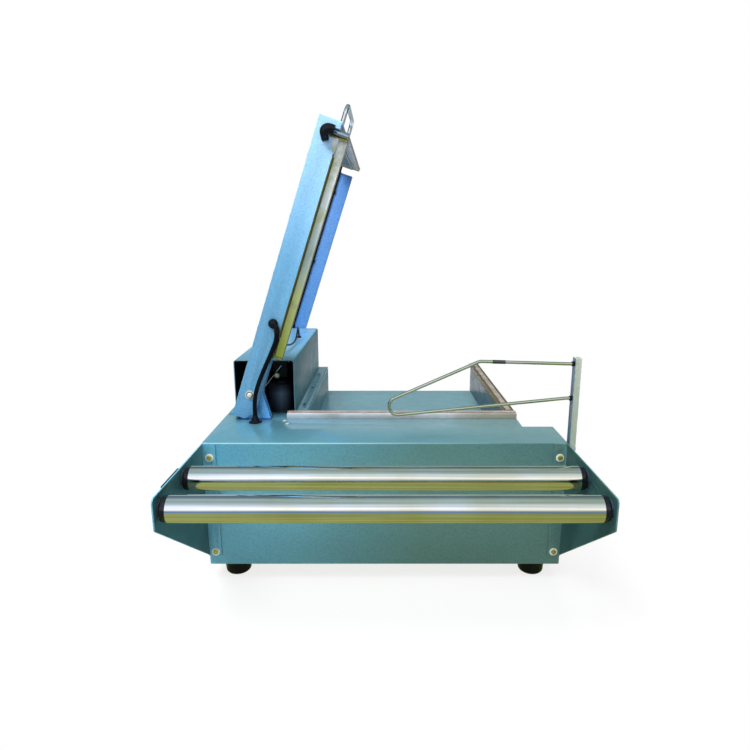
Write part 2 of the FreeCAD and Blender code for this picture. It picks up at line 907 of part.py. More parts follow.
def pivot_shaft():
    """Return the shaft that joins the near and far arm."""
    start = near_arm_near + arm_sheet
    return rod((pivot_x, start, pivot_z), (0, 1, 0), shaft_radius, far_arm_far - arm_sheet - start)


def pivot_screws():
    """Return the screw and washer at each end of the shaft, outside the arms."""
    screws = []
    for face, outward in ((near_arm_near, -1), (far_arm_far, 1)):
        washer = rod((pivot_x, face, pivot_z), (0, outward, 0), pivot_washer_radius, pivot_washer_thickness)
        seat = face + outward * pivot_washer_thickness
        shank = arm_sheet + pivot_washer_thickness
        head = pan_screw((pivot_x, seat, pivot_z), (0, outward, 0), 6.2, pivot_head_height, 3.9, shank)
        screws.append(washer.fuse(head))
    return screws


# Lid

def arm_tail_profile(drop):
    """Return the side outline of an arm in the lid's lengths, with its trimmed tail."""
    tail = -arm_tail
    return [
        (tail, 4.0), (tail, -arm_top), (arm_reach, -arm_top), (arm_reach, drop), (-30.0, drop), (-38.0, 12.0),
    ]


def channel_arm(near, far, drop):
    """Return an arm along x: a channel open downwards with its far end closed."""
    outline_points = arm_tail_profile(drop)
    solid = lid_plate(outline_points, [2, 4, 2, 2, 3, 0], near, far)
    void = lid_box(-arm_tail - 1, arm_reach - arm_sheet, near + arm_sheet, far - arm_sheet,
                   -arm_top + arm_sheet, drop + 1)
    return solid.cut(void)


def near_arm():
    """Return the near arm with its shaft holes, clamp notch and stud holes."""
    arm = channel_arm(near_arm_near, near_arm_far, arm_drop)
    notch = lid_box(clamp_notch_low, clamp_notch_high, near_arm_near - 1, near_arm_near + arm_sheet,
                    clamp_notch_drop, arm_drop + 1)
    cuts = [notch]
    cuts.append(rod((pivot_x, near_arm_near - 1, pivot_z), (0, 1, 0), 4.0, arm_sheet + 1))
    cuts.append(rod((pivot_x, near_arm_far - arm_sheet, pivot_z), (0, 1, 0), shaft_radius, arm_sheet + 1))
    for a in near_stud_places():
        line_y = near_bar_y + bar_thickness / 2
        cuts.append(rod((pivot_x + a, line_y, pivot_z), (0, 0, 1), stud_radius + fit_gap, 40))
    return arm.cut(cuts)


def far_arm():
    """Return the far arm with its rounded slot beside the front arm."""
    arm = channel_arm(far_arm_near, far_arm_far, far_arm_drop)
    low = arm_slot_centre - arm_slot_radius
    high = arm_slot_centre + arm_slot_radius
    slot = lid_box(low, high, far_arm_near - 1, far_arm_far + 1, arm_slot_depth, far_arm_drop + 1)
    round_end = rod((pivot_x + arm_slot_centre, far_arm_near - 1, pivot_z - arm_slot_depth), (0, 1, 0),
                    arm_slot_radius, far_arm_width + 2)
    room = lid_box(arm_slot_centre, arm_reach + 1, far_arm_near - 1, far_arm_far - arm_sheet,
                   insulator_top - fit_gap, far_arm_drop + 1)
    trim = lid_box(arm_slot_centre, arm_reach + 1, far_arm_near - 1, far_arm_far + 1,
                   arm_drop, far_arm_drop + 1)
    near_hole = rod((pivot_x, far_arm_near - 1, pivot_z), (0, 1, 0), shaft_radius, arm_sheet + 1)
    far_hole = rod((pivot_x, far_arm_far - arm_sheet, pivot_z), (0, 1, 0), 4.0, arm_sheet + 1)
    return arm.cut([slot, round_end, room, trim, near_hole, far_hole])


def front_arm():
    """Return the long front arm between the near and far arm."""
    solid = lid_box(front_arm_inner, arm_reach, near_arm_far, far_arm_near, -arm_top, arm_drop)
    void = lid_box(front_arm_inner + arm_sheet, arm_reach - arm_sheet, near_arm_far - 1, far_arm_near + 1,
                   -arm_top + arm_sheet, arm_drop + 1)
    arm = solid.cut(void)
    cuts = []
    for y in front_stud_places():
        line_x = pivot_x + front_bar_a + bar_thickness / 2
        cuts.append(rod((line_x, y, pivot_z), (0, 0, 1), stud_radius + fit_gap, 40))
    for y in (handle_near_y, handle_far_y):
        cuts.append(rod((pivot_x + arm_reach - 5, y, pivot_z), (1, 0, 0), handle_rod_radius + fit_gap, 10))
    return arm.cut(cuts)


def near_stud_places():
    """Return the stud places along the near bar."""
    first = near_bar_start + stud_margin
    last = near_bar_end - stud_margin
    return [first + i * (last - first) / (stud_count - 1) for i in range(stud_count)]


def front_stud_places():
    """Return the stud places along the front bar."""
    first = near_arm_far + stud_margin
    last = far_arm_near - stud_margin
    return [first + i * (last - first) / (stud_count - 1) for i in range(stud_count)]


def bar_studs():
    """Return the headed studs that hold the bars up under the arms."""
    studs = []
    places = [(a, near_bar_y + bar_thickness / 2) for a in near_stud_places()]
    places += [(front_bar_a + bar_thickness / 2, y) for y in front_stud_places()]
    for a, y in places:
        top = pivot_z + arm_top
        foot_z = pivot_z - insulator_top
        shank = rod((pivot_x + a, y, foot_z), (0, 0, 1), stud_radius, arm_top + insulator_top)
        head = rod((pivot_x + a, y, top), (0, 0, 1), stud_head_radius, stud_head_height)
        crown = [edge for edge in head.Edges if edge.BoundBox.ZMin > top + 1]
        studs.append(opened(head.makeFillet(1.4, crown).fuse(shank)))
    return studs


def bar_section(middle):
    """Return the bar's section: flat sides that taper to a narrow tip."""
    half = bar_thickness / 2
    tip = bar_tip / 2
    shoulder = bar_bottom - bar_chamfer
    return [
        (middle - half, bar_top), (middle - half, shoulder), (middle - tip, bar_bottom),
        (middle + tip, bar_bottom), (middle + half, shoulder), (middle + half, bar_top),
    ]


def near_seal_bar():
    """Return the seal bar under the near arm, with the tab that laps the arm at its top end."""
    section = bar_section(near_bar_y + bar_thickness / 2)
    profile = [(y, pivot_z - b) for y, b in section]
    bar = end_plate(profile, [0] * 6, pivot_x + near_bar_start, pivot_x + near_bar_end)
    tab_far = near_arm_near - fit_gap / 2
    tab_near = tab_far - tab_thickness
    high = bar_top + fit_gap
    low = high + tab_thickness
    bridge = lid_box(tab_start, near_bar_end, tab_near, near_bar_y + 1, high, low)
    lap = arm_drop - tab_lap
    corners = [(near_bar_end, lap + 7.6), (near_bar_end, low), (tab_start, low), (tab_start, arm_drop + 0.5),
               (near_bar_end - 8.5, lap + 1.0)]
    tab = lid_plate(corners, [0] * 5, tab_near, tab_far)
    return bar.fuse([bridge, tab]).removeSplitter()


def front_seal_bar():
    """Return the seal bar under the front arm."""
    section = bar_section(front_bar_a + bar_thickness / 2)
    profile = [(pivot_x + a, pivot_z - b) for a, b in section]
    return side_plate(profile, [0] * 6, near_arm_far, front_bar_end)


def near_insulator():
    """Return the insulating strip in the mouth of the near arm."""
    return lid_box(near_bar_start, tab_start, near_arm_near + arm_sheet + fit_gap,
                   near_arm_far - arm_sheet - fit_gap, insulator_top, bar_top)


def front_insulator():
    """Return the insulating strip in the mouth of the front arm."""
    return lid_box(front_arm_inner + arm_sheet + fit_gap, arm_reach - arm_sheet - fit_gap,
                   near_arm_far, front_bar_end, insulator_top, bar_top)


def sealing_wire():
    """Return the heated wire that runs along both bars and round the corner."""
    half = wire_width / 2
    line_y = near_bar_y + bar_thickness / 2
    line_a = front_bar_a + bar_thickness / 2
    low = bar_bottom
    high = bar_bottom + wire_thickness
    near = lid_box(near_bar_start - terminal_length / 2, line_a + half, line_y - half, line_y + half, low, high)
    front = lid_box(line_a - half, line_a + half, line_y - half, front_bar_end, low, high)
    return near.fuse(front).removeSplitter()


def corner_separator():
    """Return the insulating plate between the near bar and the corner clamp."""
    start = near_bar_end
    return lid_box(start, start + separator_thickness, near_arm_near + arm_sheet + 0.5,
                   near_arm_far - arm_sheet - 0.5, clamp_notch_drop + 2, bar_bottom)


def corner_clamp():
    """Return the clamp that grips the wire where the two bars meet."""
    start = near_bar_end + separator_thickness
    end = start + clamp_width
    middle = (start + end) / 2
    jaw_top = bar_bottom - 6
    jaw = lid_box(start, end, near_arm_near + 6, near_arm_far - arm_sheet - 0.5, jaw_top, bar_bottom)
    block = lid_box(start, end, near_arm_near + 12, near_arm_far - arm_sheet - 0.5,
                    clamp_notch_drop + 2, jaw_top)
    barrel = rod((pivot_x + middle, near_arm_near + 8, pivot_z - jaw_top), (0, 0, 1), clamp_barrel_radius,
                 jaw_top - clamp_notch_drop - 2)
    cap = rod((pivot_x + middle, near_arm_near + 8, pivot_z - bar_bottom), (0, 0, 1), clamp_barrel_radius, 6)
    return jaw.fuse([block, barrel, cap]).removeSplitter()


def wire_end_clamps():
    """Return the terminal blocks at both ends of the sealing wire."""
    line_y = near_bar_y + bar_thickness / 2
    line_a = front_bar_a + bar_thickness / 2
    near = lid_box(near_bar_start - terminal_length, near_bar_start, line_y - 5, line_y + 5, 8, bar_bottom)
    screw = (pivot_x + near_bar_start - terminal_length / 2, line_y - 8, pivot_z - 22)
    near = near.fuse(rod(screw, (0, 1, 0), terminal_screw_radius, 3))
    far_end = far_arm_far - arm_sheet - fit_gap
    far = lid_box(line_a - 5, line_a + 5, front_bar_end, far_end, 8, bar_bottom)
    return [opened(near), opened(far)]


def lid_handle():
    """Return the bent rod handle on the front arm's outer face."""
    start = pivot_x + arm_reach - arm_sheet - handle_nut_height
    grip = pivot_x + arm_reach + handle_height
    points = [
        (start, handle_near_y, pivot_z), (grip, handle_near_y, pivot_z),
        (grip, handle_far_y, pivot_z), (start, handle_far_y, pivot_z),
    ]
    return tube_along(bent_path(points, [handle_bend_radius] * 2), handle_rod_radius)


def handle_washers():
    """Return the washers outside and the nuts inside the front arm's wall."""
    pieces = []
    for y in (handle_near_y, handle_far_y):
        outer = pivot_x + arm_reach
        washer = rod((outer, y, pivot_z), (1, 0, 0), handle_washer_radius, handle_washer_thickness)
        inner = outer - arm_sheet
        nut = prism([(inner, y + handle_nut_radius * math.cos(math.radians(60 * i)),
                      pivot_z + handle_nut_radius * math.sin(math.radians(60 * i))) for i in range(6)],
                    [0] * 6, (-handle_nut_height, 0, 0))
        bore = rod((outer - 20, y, pivot_z), (1, 0, 0), handle_rod_radius, 40)
        pieces.append(opened(washer.cut(bore)))
        pieces.append(opened(nut.cut(bore)))
    return pieces


# Cables and their reliefs

cable_route = [
    (66.0, 114.0, deck + boot_height), (65.2, 115.2, deck + 36.0), (70.0, 118.5, deck + 64.0),
    (84.0, 119.5, deck + 97.5), (101.0, 119.5, deck + 132.0), (114.0, 119.5, deck + 160.0),
    (111.9, 120.3, deck + 177.4),
]
hood_lead_route = [
    (106.0, 425.0, deck + hood_height + 4.0), (106.0, 425.0, deck + 125.0), (106.3, 416.0, deck + 134.0),
    (107.5, 401.0, deck + 135.5), (110.0, 373.0, deck + 127.0), (112.0, 334.0, deck + 117.0),
    (109.0, 290.0, deck + 116.0), (104.0, 246.0, deck + 124.0), (99.5, 206.0, deck + 137.0),
    (98.0, 166.0, deck + 140.0),
]


def deck_glands():
    """Return the cable's flanged boot on the deck and the lead's grommet on the hood."""
    x, y, z = cable_route[0]
    flange = rod((x, y, deck), (0, 0, 1), boot_radius, 3)
    cone = Part.makeCone(8.0, cable_radius + 1.5, boot_height - 3, Vector(x, y, deck + 3))
    x, y, z = hood_lead_route[0]
    top = deck + hood_height
    ring = rod((x, y, top), (0, 0, 1), 5.5, 4)
    neck = rod((x, y, top - casing_sheet - 2), (0, 0, 1), lead_radius + 1, casing_sheet + 3)
    return [flange.fuse(cone), ring.fuse(neck)]


def arm_glands():
    """Return the ball-shaped relief on the near arm and the lead's gland behind it."""
    lead_x, lead_y, lead_z = hood_lead_route[-1]
    gland_length = lead_y - near_arm_far - body_gap
    gland = rod((lead_x, near_arm_far, lead_z), (0, 1, 0), lead_radius + 2, gland_length)
    centre_point = Vector(pivot_x + ball_along, near_arm_near - ball_proud, pivot_z - ball_below)
    ball = Part.makeSphere(ball_radius, centre_point)
    behind = box(centre_point.x - 20, centre_point.x + 20, near_arm_near, near_arm_near + 20,
                 centre_point.z - 20, centre_point.z + 20)
    return [opened(ball.cut(behind)), gland]


def upper_boot():
    """Return the domed boot at the top of the near arm."""
    along = pivot_x + arm_reach - upper_boot_back
    place = Vector(along, near_arm_near + upper_boot_sunk, pivot_z - upper_boot_below)
    dome = Part.makeSphere(upper_boot_radius, place)
    behind = box(place.x - 20, place.x + 20, near_arm_near, near_arm_near + 30, place.z - 20, place.z + 20)
    return opened(dome.cut(behind))


def far_arm_lead():
    """Return the flat lead clipped along the far arm's near face."""
    end = front_arm_inner - strip_clearance
    strip = lid_box(strip_start, end, far_arm_near - strip_thickness, far_arm_near, strip_top, strip_bottom)
    face = far_arm_near - strip_thickness - clip_proud
    clips = [lid_box(a, a + clip_length, face, far_arm_near, strip_top - clip_side, strip_bottom + clip_side)
             for a in clip_places]
    return opened(strip.fuse(clips).removeSplitter())


# Film opener

def opener_post():
    """Return the square post outside the right end of the roller box."""
    post = box(post_x, post_x + post_width, post_y, post_y + post_depth, post_bottom, post_top)
    middle = post_y + post_depth / 2
    holes = [rod((post_x - 1, middle, z), (1, 0, 0), opener_wire_radius + fit_gap, opener_insert + 1)
             for z in (opener_upper_z, opener_lower_z)]
    for z in post_screw_heights():
        holes.append(rod((post_x - 1, middle, z), (1, 0, 0), post_screw_shank, post_width + 2))
    return post.cut(holes)


def post_bushes():
    """Return the spacers behind the post and the collars where the wire enters it."""
    middle = post_y + post_depth / 2
    bushes = []
    for z in post_screw_heights():
        bushes.append(rod((roller_box_width, middle, z), (1, 0, 0), post_spacer_radius, post_gap))
    for z in (opener_upper_z, opener_lower_z):
        outer = rod((post_x, middle, z), (-1, 0, 0), opener_collar_radius, opener_collar_length)
        mouth = (post_x + 1, middle, z)
        bore = rod(mouth, (-1, 0, 0), opener_wire_radius + fit_gap, opener_collar_length + 2)
        bushes.append(outer.cut(bore))
    return bushes


def post_screw_heights():
    """Return the heights of the two screws that hold the post."""
    return (deck - post_screw_top, post_bottom + post_screw_bottom)


def post_screws():
    """Return the screws through the post into the casing."""
    middle = post_y + post_depth / 2
    face = post_x + post_width
    screws = []
    for z in post_screw_heights():
        seat = (face, middle, z)
        screws.append(pan_screw(seat, (1, 0, 0), post_screw_radius, post_screw_head,
                                post_screw_shank, post_width))
    return screws


def film_opener():
    """Return the bent wire that holds the film open."""
    middle = post_y + post_depth / 2
    end = post_x + opener_insert
    route = [
        (end, middle, opener_upper_z), (opener_foot_x, middle, opener_upper_z),
        (opener_bend_x, middle, opener_upper_z + opener_bend_rise),
        (opener_tip_x, middle, opener_tip_z), (opener_foot_x, middle, opener_lower_z),
        (end, middle, opener_lower_z),
    ]
    radii = [opener_heel_radius, opener_bend_radius, opener_tip_radius, opener_heel_radius]
    return tube_along(bent_path(route, radii), opener_wire_radius)


def opener_sleeve():
    """Return the crimped sleeve on the opener's upper leg."""
    middle = post_y + post_depth / 2
    slope = opener_bend_rise / (opener_foot_x - opener_bend_x)
    height = opener_upper_z + (opener_foot_x - sleeve_start_x) * slope
    along = (1, 0, -slope)
    outer = rod((sleeve_start_x, middle, height), along, sleeve_radius, sleeve_length)
    mouth = (sleeve_start_x - 1, middle, height + slope)
    bore = rod(mouth, along, opener_wire_radius + fit_gap, sleeve_length + 2)
    return outer.cut(bore)


# Lift springs and what holds them

def spring_side():
    """Return the legs' direction in x and z and the start of the legs beside the coil."""
    lean = math.radians(spring_leg_lean)
    along = Vector(math.sin(lean), 0, math.cos(lean))
    across = Vector(math.cos(lean), 0, -math.sin(lean))
    root = Vector(pivot_x, 0, pivot_z) + across * spring_coil_radius
    return along, across, root


def lift_spring(start_y):
    """Return one torsion spring: its anchor leg up to the right, its dog leg down to the left."""
    height = spring_pitch * spring_turns
    helix = Part.makeHelix(spring_pitch, height, spring_coil_radius)
    ring = Part.Wire(Part.makeCircle(spring_wire_radius, Vector(spring_coil_radius, 0, 0), Vector(0, 1, 0)))
    coil = Part.Wire(helix).makePipeShell([ring], True, True)
    anchor_leg = rod((spring_coil_radius, 0, 0), (0, -1, 0), spring_wire_radius, spring_anchor_leg)
    dog_leg = rod((spring_coil_radius, 0, height), (0, 1, 0), spring_wire_radius, spring_dog_leg)
    spring = coil.fuse([anchor_leg, dog_leg])
    spring.rotate(Vector(0, 0, 0), Vector(1, 0, 0), -90)
    spring.rotate(Vector(0, 0, 0), Vector(0, 1, 0), spring_leg_lean)
    spring.translate(Vector(pivot_x, start_y, pivot_z))
    return spring


def spring_collars():
    """Return the shaft collars whose pins turn the springs' dog legs."""
    along, across, root = spring_side()
    pin_place = root - along * dog_reach + across * (spring_wire_radius + dog_pin_radius + fit_gap)
    collars = []
    for start in (spring_near_y, spring_far_y):
        face = start + spring_pitch * spring_turns + 4
        ring = rod((pivot_x, face, pivot_z), (0, 1, 0), spring_collar_radius, spring_collar_width)
        heel = Vector(pivot_x, 0, pivot_z)
        out = (pin_place - heel).normalize()
        side = Vector(out.z, 0, -out.x) * dog_pin_radius
        tip = pin_place + out * dog_pin_radius
        corners = [heel + side, heel - side, tip - side, tip + side]
        lug = prism([(c.x, face, c.z) for c in corners], [0] * 4, (0, spring_collar_width, 0))
        pin = rod((pin_place.x, face - 7, pin_place.z), (0, 1, 0), dog_pin_radius, 8)
        bore = rod((pivot_x, face - 1, pivot_z), (0, 1, 0), shaft_radius, spring_collar_width + 2)
        collars.append(ring.fuse([lug, pin]).cut(bore).removeSplitter())
    return collars


def spring_anchors():
    """Return the brackets under the hood's top whose bolts hold the springs' anchor legs."""
    along, across, root = spring_side()
    bolt = root + along * anchor_reach + across * (spring_wire_radius + anchor_bolt_radius)
    left = bolt.x - anchor_plate_width / 3
    right = left + anchor_plate_width
    low = bolt.z - anchor_bolt_radius * 2
    anchors = []
    for start in (spring_near_y, spring_far_y):
        front = start + spring_wire_radius + anchor_stand_off
        back = front + anchor_plate_thickness
        head_near = start - 2 * anchor_bolt_head
        plate = box(left, right, front, back, low, hood_under)
        foot_piece = box(left, right, front, front + anchor_foot_depth,
                         hood_under - anchor_plate_thickness, hood_under)
        shank = rod((bolt.x, head_near, bolt.z), (0, 1, 0), anchor_bolt_radius, back - head_near + 4)
        head = rod((bolt.x, head_near, bolt.z), (0, 1, 0), anchor_bolt_radius + 2.5, anchor_bolt_head)
        anchors.append(plate.fuse([foot_piece, shank, head]).removeSplitter())
    return anchors


def transformer():
    """Return the sealing transformer: a base ring, a round can and the boss on top of it."""
    base = rod((transformer_x, transformer_y, deck), (0, 0, 1), can_base_radius, can_base_height)
    heel = deck + can_base_height
    can = rod((transformer_x, transformer_y, heel), (0, 0, 1), can_radius, can_height)
    rim = [edge for edge in can.Edges if edge.BoundBox.ZMin > heel + can_height - 0.1]
    can = can.makeFillet(can_rounding, rim)
    top = heel + can_height
    boss = rod((transformer_x, transformer_y, top), (0, 0, 1), can_boss_radius, can_boss_height)
    return [base, can, boss]


# Control panel

def switch_frame():
    """Return the switch's housing: a bezel on the casing and an open box behind it."""
    bezel = switch_box(casing_width, casing_width + switch_bezel, 0)
    body = switch_box(casing_width - switch_depth, casing_width, -switch_bezel)
    room = switch_box(casing_width - switch_depth + 2, casing_width + switch_bezel + 1, -2 * switch_bezel)
    x, y = rocker_pivot()
    hole_radius = rocker_pin_radius + running_gap
    pin_hole = rod((x, y, panel_z - switch_height), (0, 0, 1), hole_radius, 2 * switch_height)
    return bezel.fuse(body).cut([room, pin_hole]).removeSplitter()


def rocker_pivot():
    """Return the rocker's pivot, in x and y."""
    return casing_width - rocker_setback, switch_y


def switch_rocker():
    """Return the rocker, tilted to its off side, with its two pivot pins."""
    x, y = rocker_pivot()
    half = switch_width / 2 - 2 * switch_bezel - rocker_gap
    rise = switch_height / 2 - 2 * switch_bezel - rocker_gap
    crest = casing_width + switch_bezel + 1.0
    low = panel_z - rise
    profile = [(x - 3, y - 3, low), (crest - 2.5, y - half + 1, low), (crest, y - half + 1.2, low),
               (crest - 1.6, y, low), (crest, y + half - 1.2, low), (crest - 2.5, y + half - 1, low),
               (x - 3, y + 3, low)]
    rocker = prism(profile, [0] * 7, (0, 0, 2 * rise))
    pin_length = 2 * (rise + rocker_pin_bite)
    rocker = rocker.fuse(rod((x, y, low - rocker_pin_bite), (0, 0, 1), rocker_pin_radius, pin_length))
    rocker.rotate(Vector(x, y, 0), Vector(0, 0, 1), rocker_tilt)
    return rocker


def timer_knob():
    """Return the timer's knob with its spindle and grip flats."""
    face = casing_width + body_gap
    skirt = rod((face, knob_y, panel_z), (1, 0, 0), knob_radius, 3)
    heel = Vector(face + 3, knob_y, panel_z)
    grip = Part.makeCone(knob_radius * 0.72, knob_radius * 0.66, knob_height - 3, heel, Vector(1, 0, 0))
    flutes = []
    for i in range(12):
        turn = math.radians(i * 30)
        reach = knob_radius * 0.76
        flutes.append(rod((face + 3, knob_y + reach * math.cos(turn), panel_z + reach * math.sin(turn)),
                          (1, 0, 0), 2.0, knob_height))
    pointer = box(face + knob_height - 1, face + knob_height + 1, knob_y - 0.8, knob_y + 0.8,
                  panel_z, panel_z + knob_radius * 0.6)
    spindle = rod((face, knob_y, panel_z), (-1, 0, 0), knob_spindle_radius, 12)
    return skirt.fuse([grip.cut(flutes), spindle]).cut(pointer)


def pilot_lamp():
    """Return the pilot lamp: a domed lens on a barrel through the casing."""
    barrel = rod((casing_width - 14, lamp_y, panel_z), (1, 0, 0), lamp_radius - 2, 15)
    collar = rod((casing_width, lamp_y, panel_z), (1, 0, 0), lamp_radius, 1.5)
    lens = Part.makeSphere(lamp_radius - 1, Vector(casing_width + 1.5, lamp_y, panel_z))
    behind = box(casing_width - 10, casing_width + 1.5, lamp_y - 10, lamp_y + 10, panel_z - 10, panel_z + 10)
    lens = lens.cut(behind)
    return barrel.fuse([collar, lens])


def mains_inlet():
    """Return the mains inlet: a flanged socket with its recess and pins."""
    flange = inlet_box(-2, 0, inlet_rim)
    body = inlet_box(-0.5, 22, 0)
    recess = inlet_box(-3, 16, -3)
    pins = [box(4, 18, inlet_y + step - 0.8, inlet_y + step + 0.8, inlet_z + lift - 2, inlet_z + lift + 2)
            for step, lift in ((-6, -1.5), (0, 1.5), (6, -1.5))]
    return flange.fuse(body).cut(recess).fuse(pins).removeSplitter()


if __name__ == "__main__":
    save("base_casing", base_casing())
    save("bottom_plate", bottom_plate())
    save("product_tray", product_tray())
    save("hood_cover", hood_cover())
    save("hood_end_plate", hood_end_plate())
    save("near_seal_base", near_seal_base())
    save("side_seal_base", side_seal_base())
    save("near_seal_insert", near_seal_insert())
    save("side_seal_insert", side_seal_insert())
    save("deck_screws", deck_screws())
    save("rubber_feet", [foot(x, y) for x, y in foot_places()])
    save("foot_screws", [foot_screw(x, y) for x, y in foot_places()])
    save("left_roller_bracket", roller_bracket(0, 1))
    save("right_roller_bracket", roller_bracket(roller_box_width, -1))
    save("roller_box_screws", bracket_screws() + post_screws())
    save("bracket_pad", bracket_pad())
    save("roller_axles", roller_axles())
    save("rear_roller_tube", roller_tube(rear_axis))
    save("rear_roller_plugs", roller_plugs(rear_axis))
    save("front_roller_tube", roller_tube(front_axis))
    save("front_roller_plugs", roller_plugs(front_axis))
    save("near_pivot_bracket", near_pivot_bracket())
    save("far_pivot_bracket", far_pivot_bracket())
    save("pivot_bushes", pivot_bushes())
    save("pivot_bracket_bolts", bracket_bolts())
    save("pivot_shaft", pivot_shaft())
    save("pivot_screws", pivot_screws())
    save("near_arm", opened(near_arm()))
    save("front_arm", opened(front_arm()))
    save("far_arm", opened(far_arm()))
    save("bar_studs", bar_studs())
    save("near_seal_bar", opened(near_seal_bar()))
    save("front_seal_bar", opened(front_seal_bar()))
    save("near_insulator", opened(near_insulator()))
    save("front_insulator", opened(front_insulator()))
    save("sealing_wire", opened(sealing_wire()))
    save("corner_separator", opened(corner_separator()))
    save("corner_clamp", opened(corner_clamp()))
    save("wire_end_clamps", wire_end_clamps())
    save("lid_handle", opened(lid_handle()))
    save("handle_fixings", handle_washers())
    save("deck_glands", deck_glands())
    save("arm_glands", arm_glands())
    save("far_arm_lead", far_arm_lead())
    save("upper_boot", upper_boot())
    save("lid_cable", cord("lid_cable", cable_route, cable_radius))
    save("hood_lead", cord("hood_lead", hood_lead_route, lead_radius))
    save("opener_post", opener_post())
    save("post_bushes", post_bushes())
    save("film_opener", film_opener())
    save("opener_sleeve", opener_sleeve())
    save("lift_springs", [lift_spring(spring_near_y), lift_spring(spring_far_y)])
    save("spring_collars", spring_collars())
    save("spring_anchors", spring_anchors())
    save("transformer", transformer())
    save("switch_frame", switch_frame())
    save("switch_rocker", switch_rocker())
    save("timer_knob", timer_knob())
    save("pilot_lamp", pilot_lamp())
    save("mains_inlet", mains_inlet())
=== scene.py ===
"""Looks of the manual L-bar film sealer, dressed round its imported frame.

Lengths in this file are millimetres from the casing's near left corner, with x to the operator's
side, y to the far end and z up from 25 mm under the casing, and Bench turns them into metres.
"""

import json
import logging
import math
from dataclasses import dataclass, replace
from enum import Enum
from typing import Callable, Optional, Sequence, Union

import bmesh
import bpy
import numpy as np
from mathutils import Matrix, Vector

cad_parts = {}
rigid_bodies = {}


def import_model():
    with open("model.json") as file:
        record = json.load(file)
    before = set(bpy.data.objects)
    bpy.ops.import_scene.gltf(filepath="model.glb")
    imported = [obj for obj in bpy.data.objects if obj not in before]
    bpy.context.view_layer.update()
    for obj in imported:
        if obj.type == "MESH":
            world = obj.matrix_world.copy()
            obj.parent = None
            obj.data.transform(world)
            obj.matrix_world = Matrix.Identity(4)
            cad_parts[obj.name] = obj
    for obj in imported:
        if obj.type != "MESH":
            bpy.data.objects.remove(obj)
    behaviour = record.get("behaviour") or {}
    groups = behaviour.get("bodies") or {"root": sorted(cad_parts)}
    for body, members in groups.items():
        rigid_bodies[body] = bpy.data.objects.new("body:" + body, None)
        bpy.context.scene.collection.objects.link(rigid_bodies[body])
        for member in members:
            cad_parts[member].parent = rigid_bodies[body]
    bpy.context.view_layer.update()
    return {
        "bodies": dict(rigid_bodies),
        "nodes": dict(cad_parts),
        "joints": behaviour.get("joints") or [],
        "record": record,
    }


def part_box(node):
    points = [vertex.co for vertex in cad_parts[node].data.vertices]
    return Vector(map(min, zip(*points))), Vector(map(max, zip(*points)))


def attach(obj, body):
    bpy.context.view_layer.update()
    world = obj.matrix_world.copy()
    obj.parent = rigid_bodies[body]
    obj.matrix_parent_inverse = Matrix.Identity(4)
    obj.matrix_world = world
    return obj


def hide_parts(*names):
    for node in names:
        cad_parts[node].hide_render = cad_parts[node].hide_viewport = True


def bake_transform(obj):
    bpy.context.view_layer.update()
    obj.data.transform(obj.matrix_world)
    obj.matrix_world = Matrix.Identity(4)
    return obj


LOG = logging.getLogger("sealer")
MILLIMETRE = 0.001
Colour = tuple[float, float, float]
Way = tuple[float, float, float]
Surface = tuple[np.ndarray, list]
Value = Union[bpy.types.NodeSocket, float, Colour]
RIGHT: Way = (1.0, 0.0, 0.0)
BACK: Way = (0.0, 1.0, 0.0)
FRONT: Way = (0.0, -1.0, 0.0)
UP: Way = (0.0, 0.0, 1.0)


def put(name: str, data: bpy.types.ID) -> bpy.types.Object:
    """Put data in the scene as an object at the origin.

    Args:
        name: the object's name.
        data: its mesh, curve, lamp or camera.

    Returns:
        The object.
    """
    thing = bpy.data.objects.new(name, data)
    bpy.context.scene.collection.objects.link(thing)
    return thing


def facing(axis: int, sign: float = 1.0, least: float = 0.7) -> Callable:
    """Return a test for SubAssembly.face that picks the faces looking along an axis.

    Args:
        axis: 0 to 2 for x to z.
        sign: 1 for the axis's own direction, -1 for the opposite one.
        least: the least part of a face's normal along it.

    Returns:
        The test.
    """
    return lambda centres, normals: normals[:, axis] * sign > least


class Bench:
    """The machine's own datum and the lid's lean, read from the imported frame."""

    BELOW = 25.0

    def __init__(self, frame: dict) -> None:
        """Find the casing's corner and the lid's pivot.
        """
        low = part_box("base_casing")[0]
        self.corner = np.array([low.x, low.y, low.z - self.BELOW * MILLIMETRE])
        hinge = next(joint for joint in frame["joints"] if joint["name"] == "lid_hinge")
        self.pivot = np.array(hinge["pos_m"])
        self.lean = math.radians(max(hinge["range_deg"]))
        self.along = np.array([math.cos(self.lean), 0.0, math.sin(self.lean)])
        self.below = np.array([math.sin(self.lean), 0.0, -math.cos(self.lean)])

    def at(self, points: Sequence) -> np.ndarray:
        """Return places in metres for points in millimetres from the casing's corner."""
        return self.corner + np.asarray(points, float) * MILLIMETRE

    def on_lid(self, a: float, y: float, b: float) -> np.ndarray:
        """Return the place of a point of the open lid, a along its arm and b below its axis.

        Args:
            a: millimetres along the arm from the pivot.
            y: millimetres from the casing's near face.
            b: millimetres below the pivot axis when the lid is shut.

        Returns:
            The place in metres.
        """
        place = self.pivot + (self.along * a + self.below * b) * MILLIMETRE
        place[1] = self.corner[1] + y * MILLIMETRE
        return place


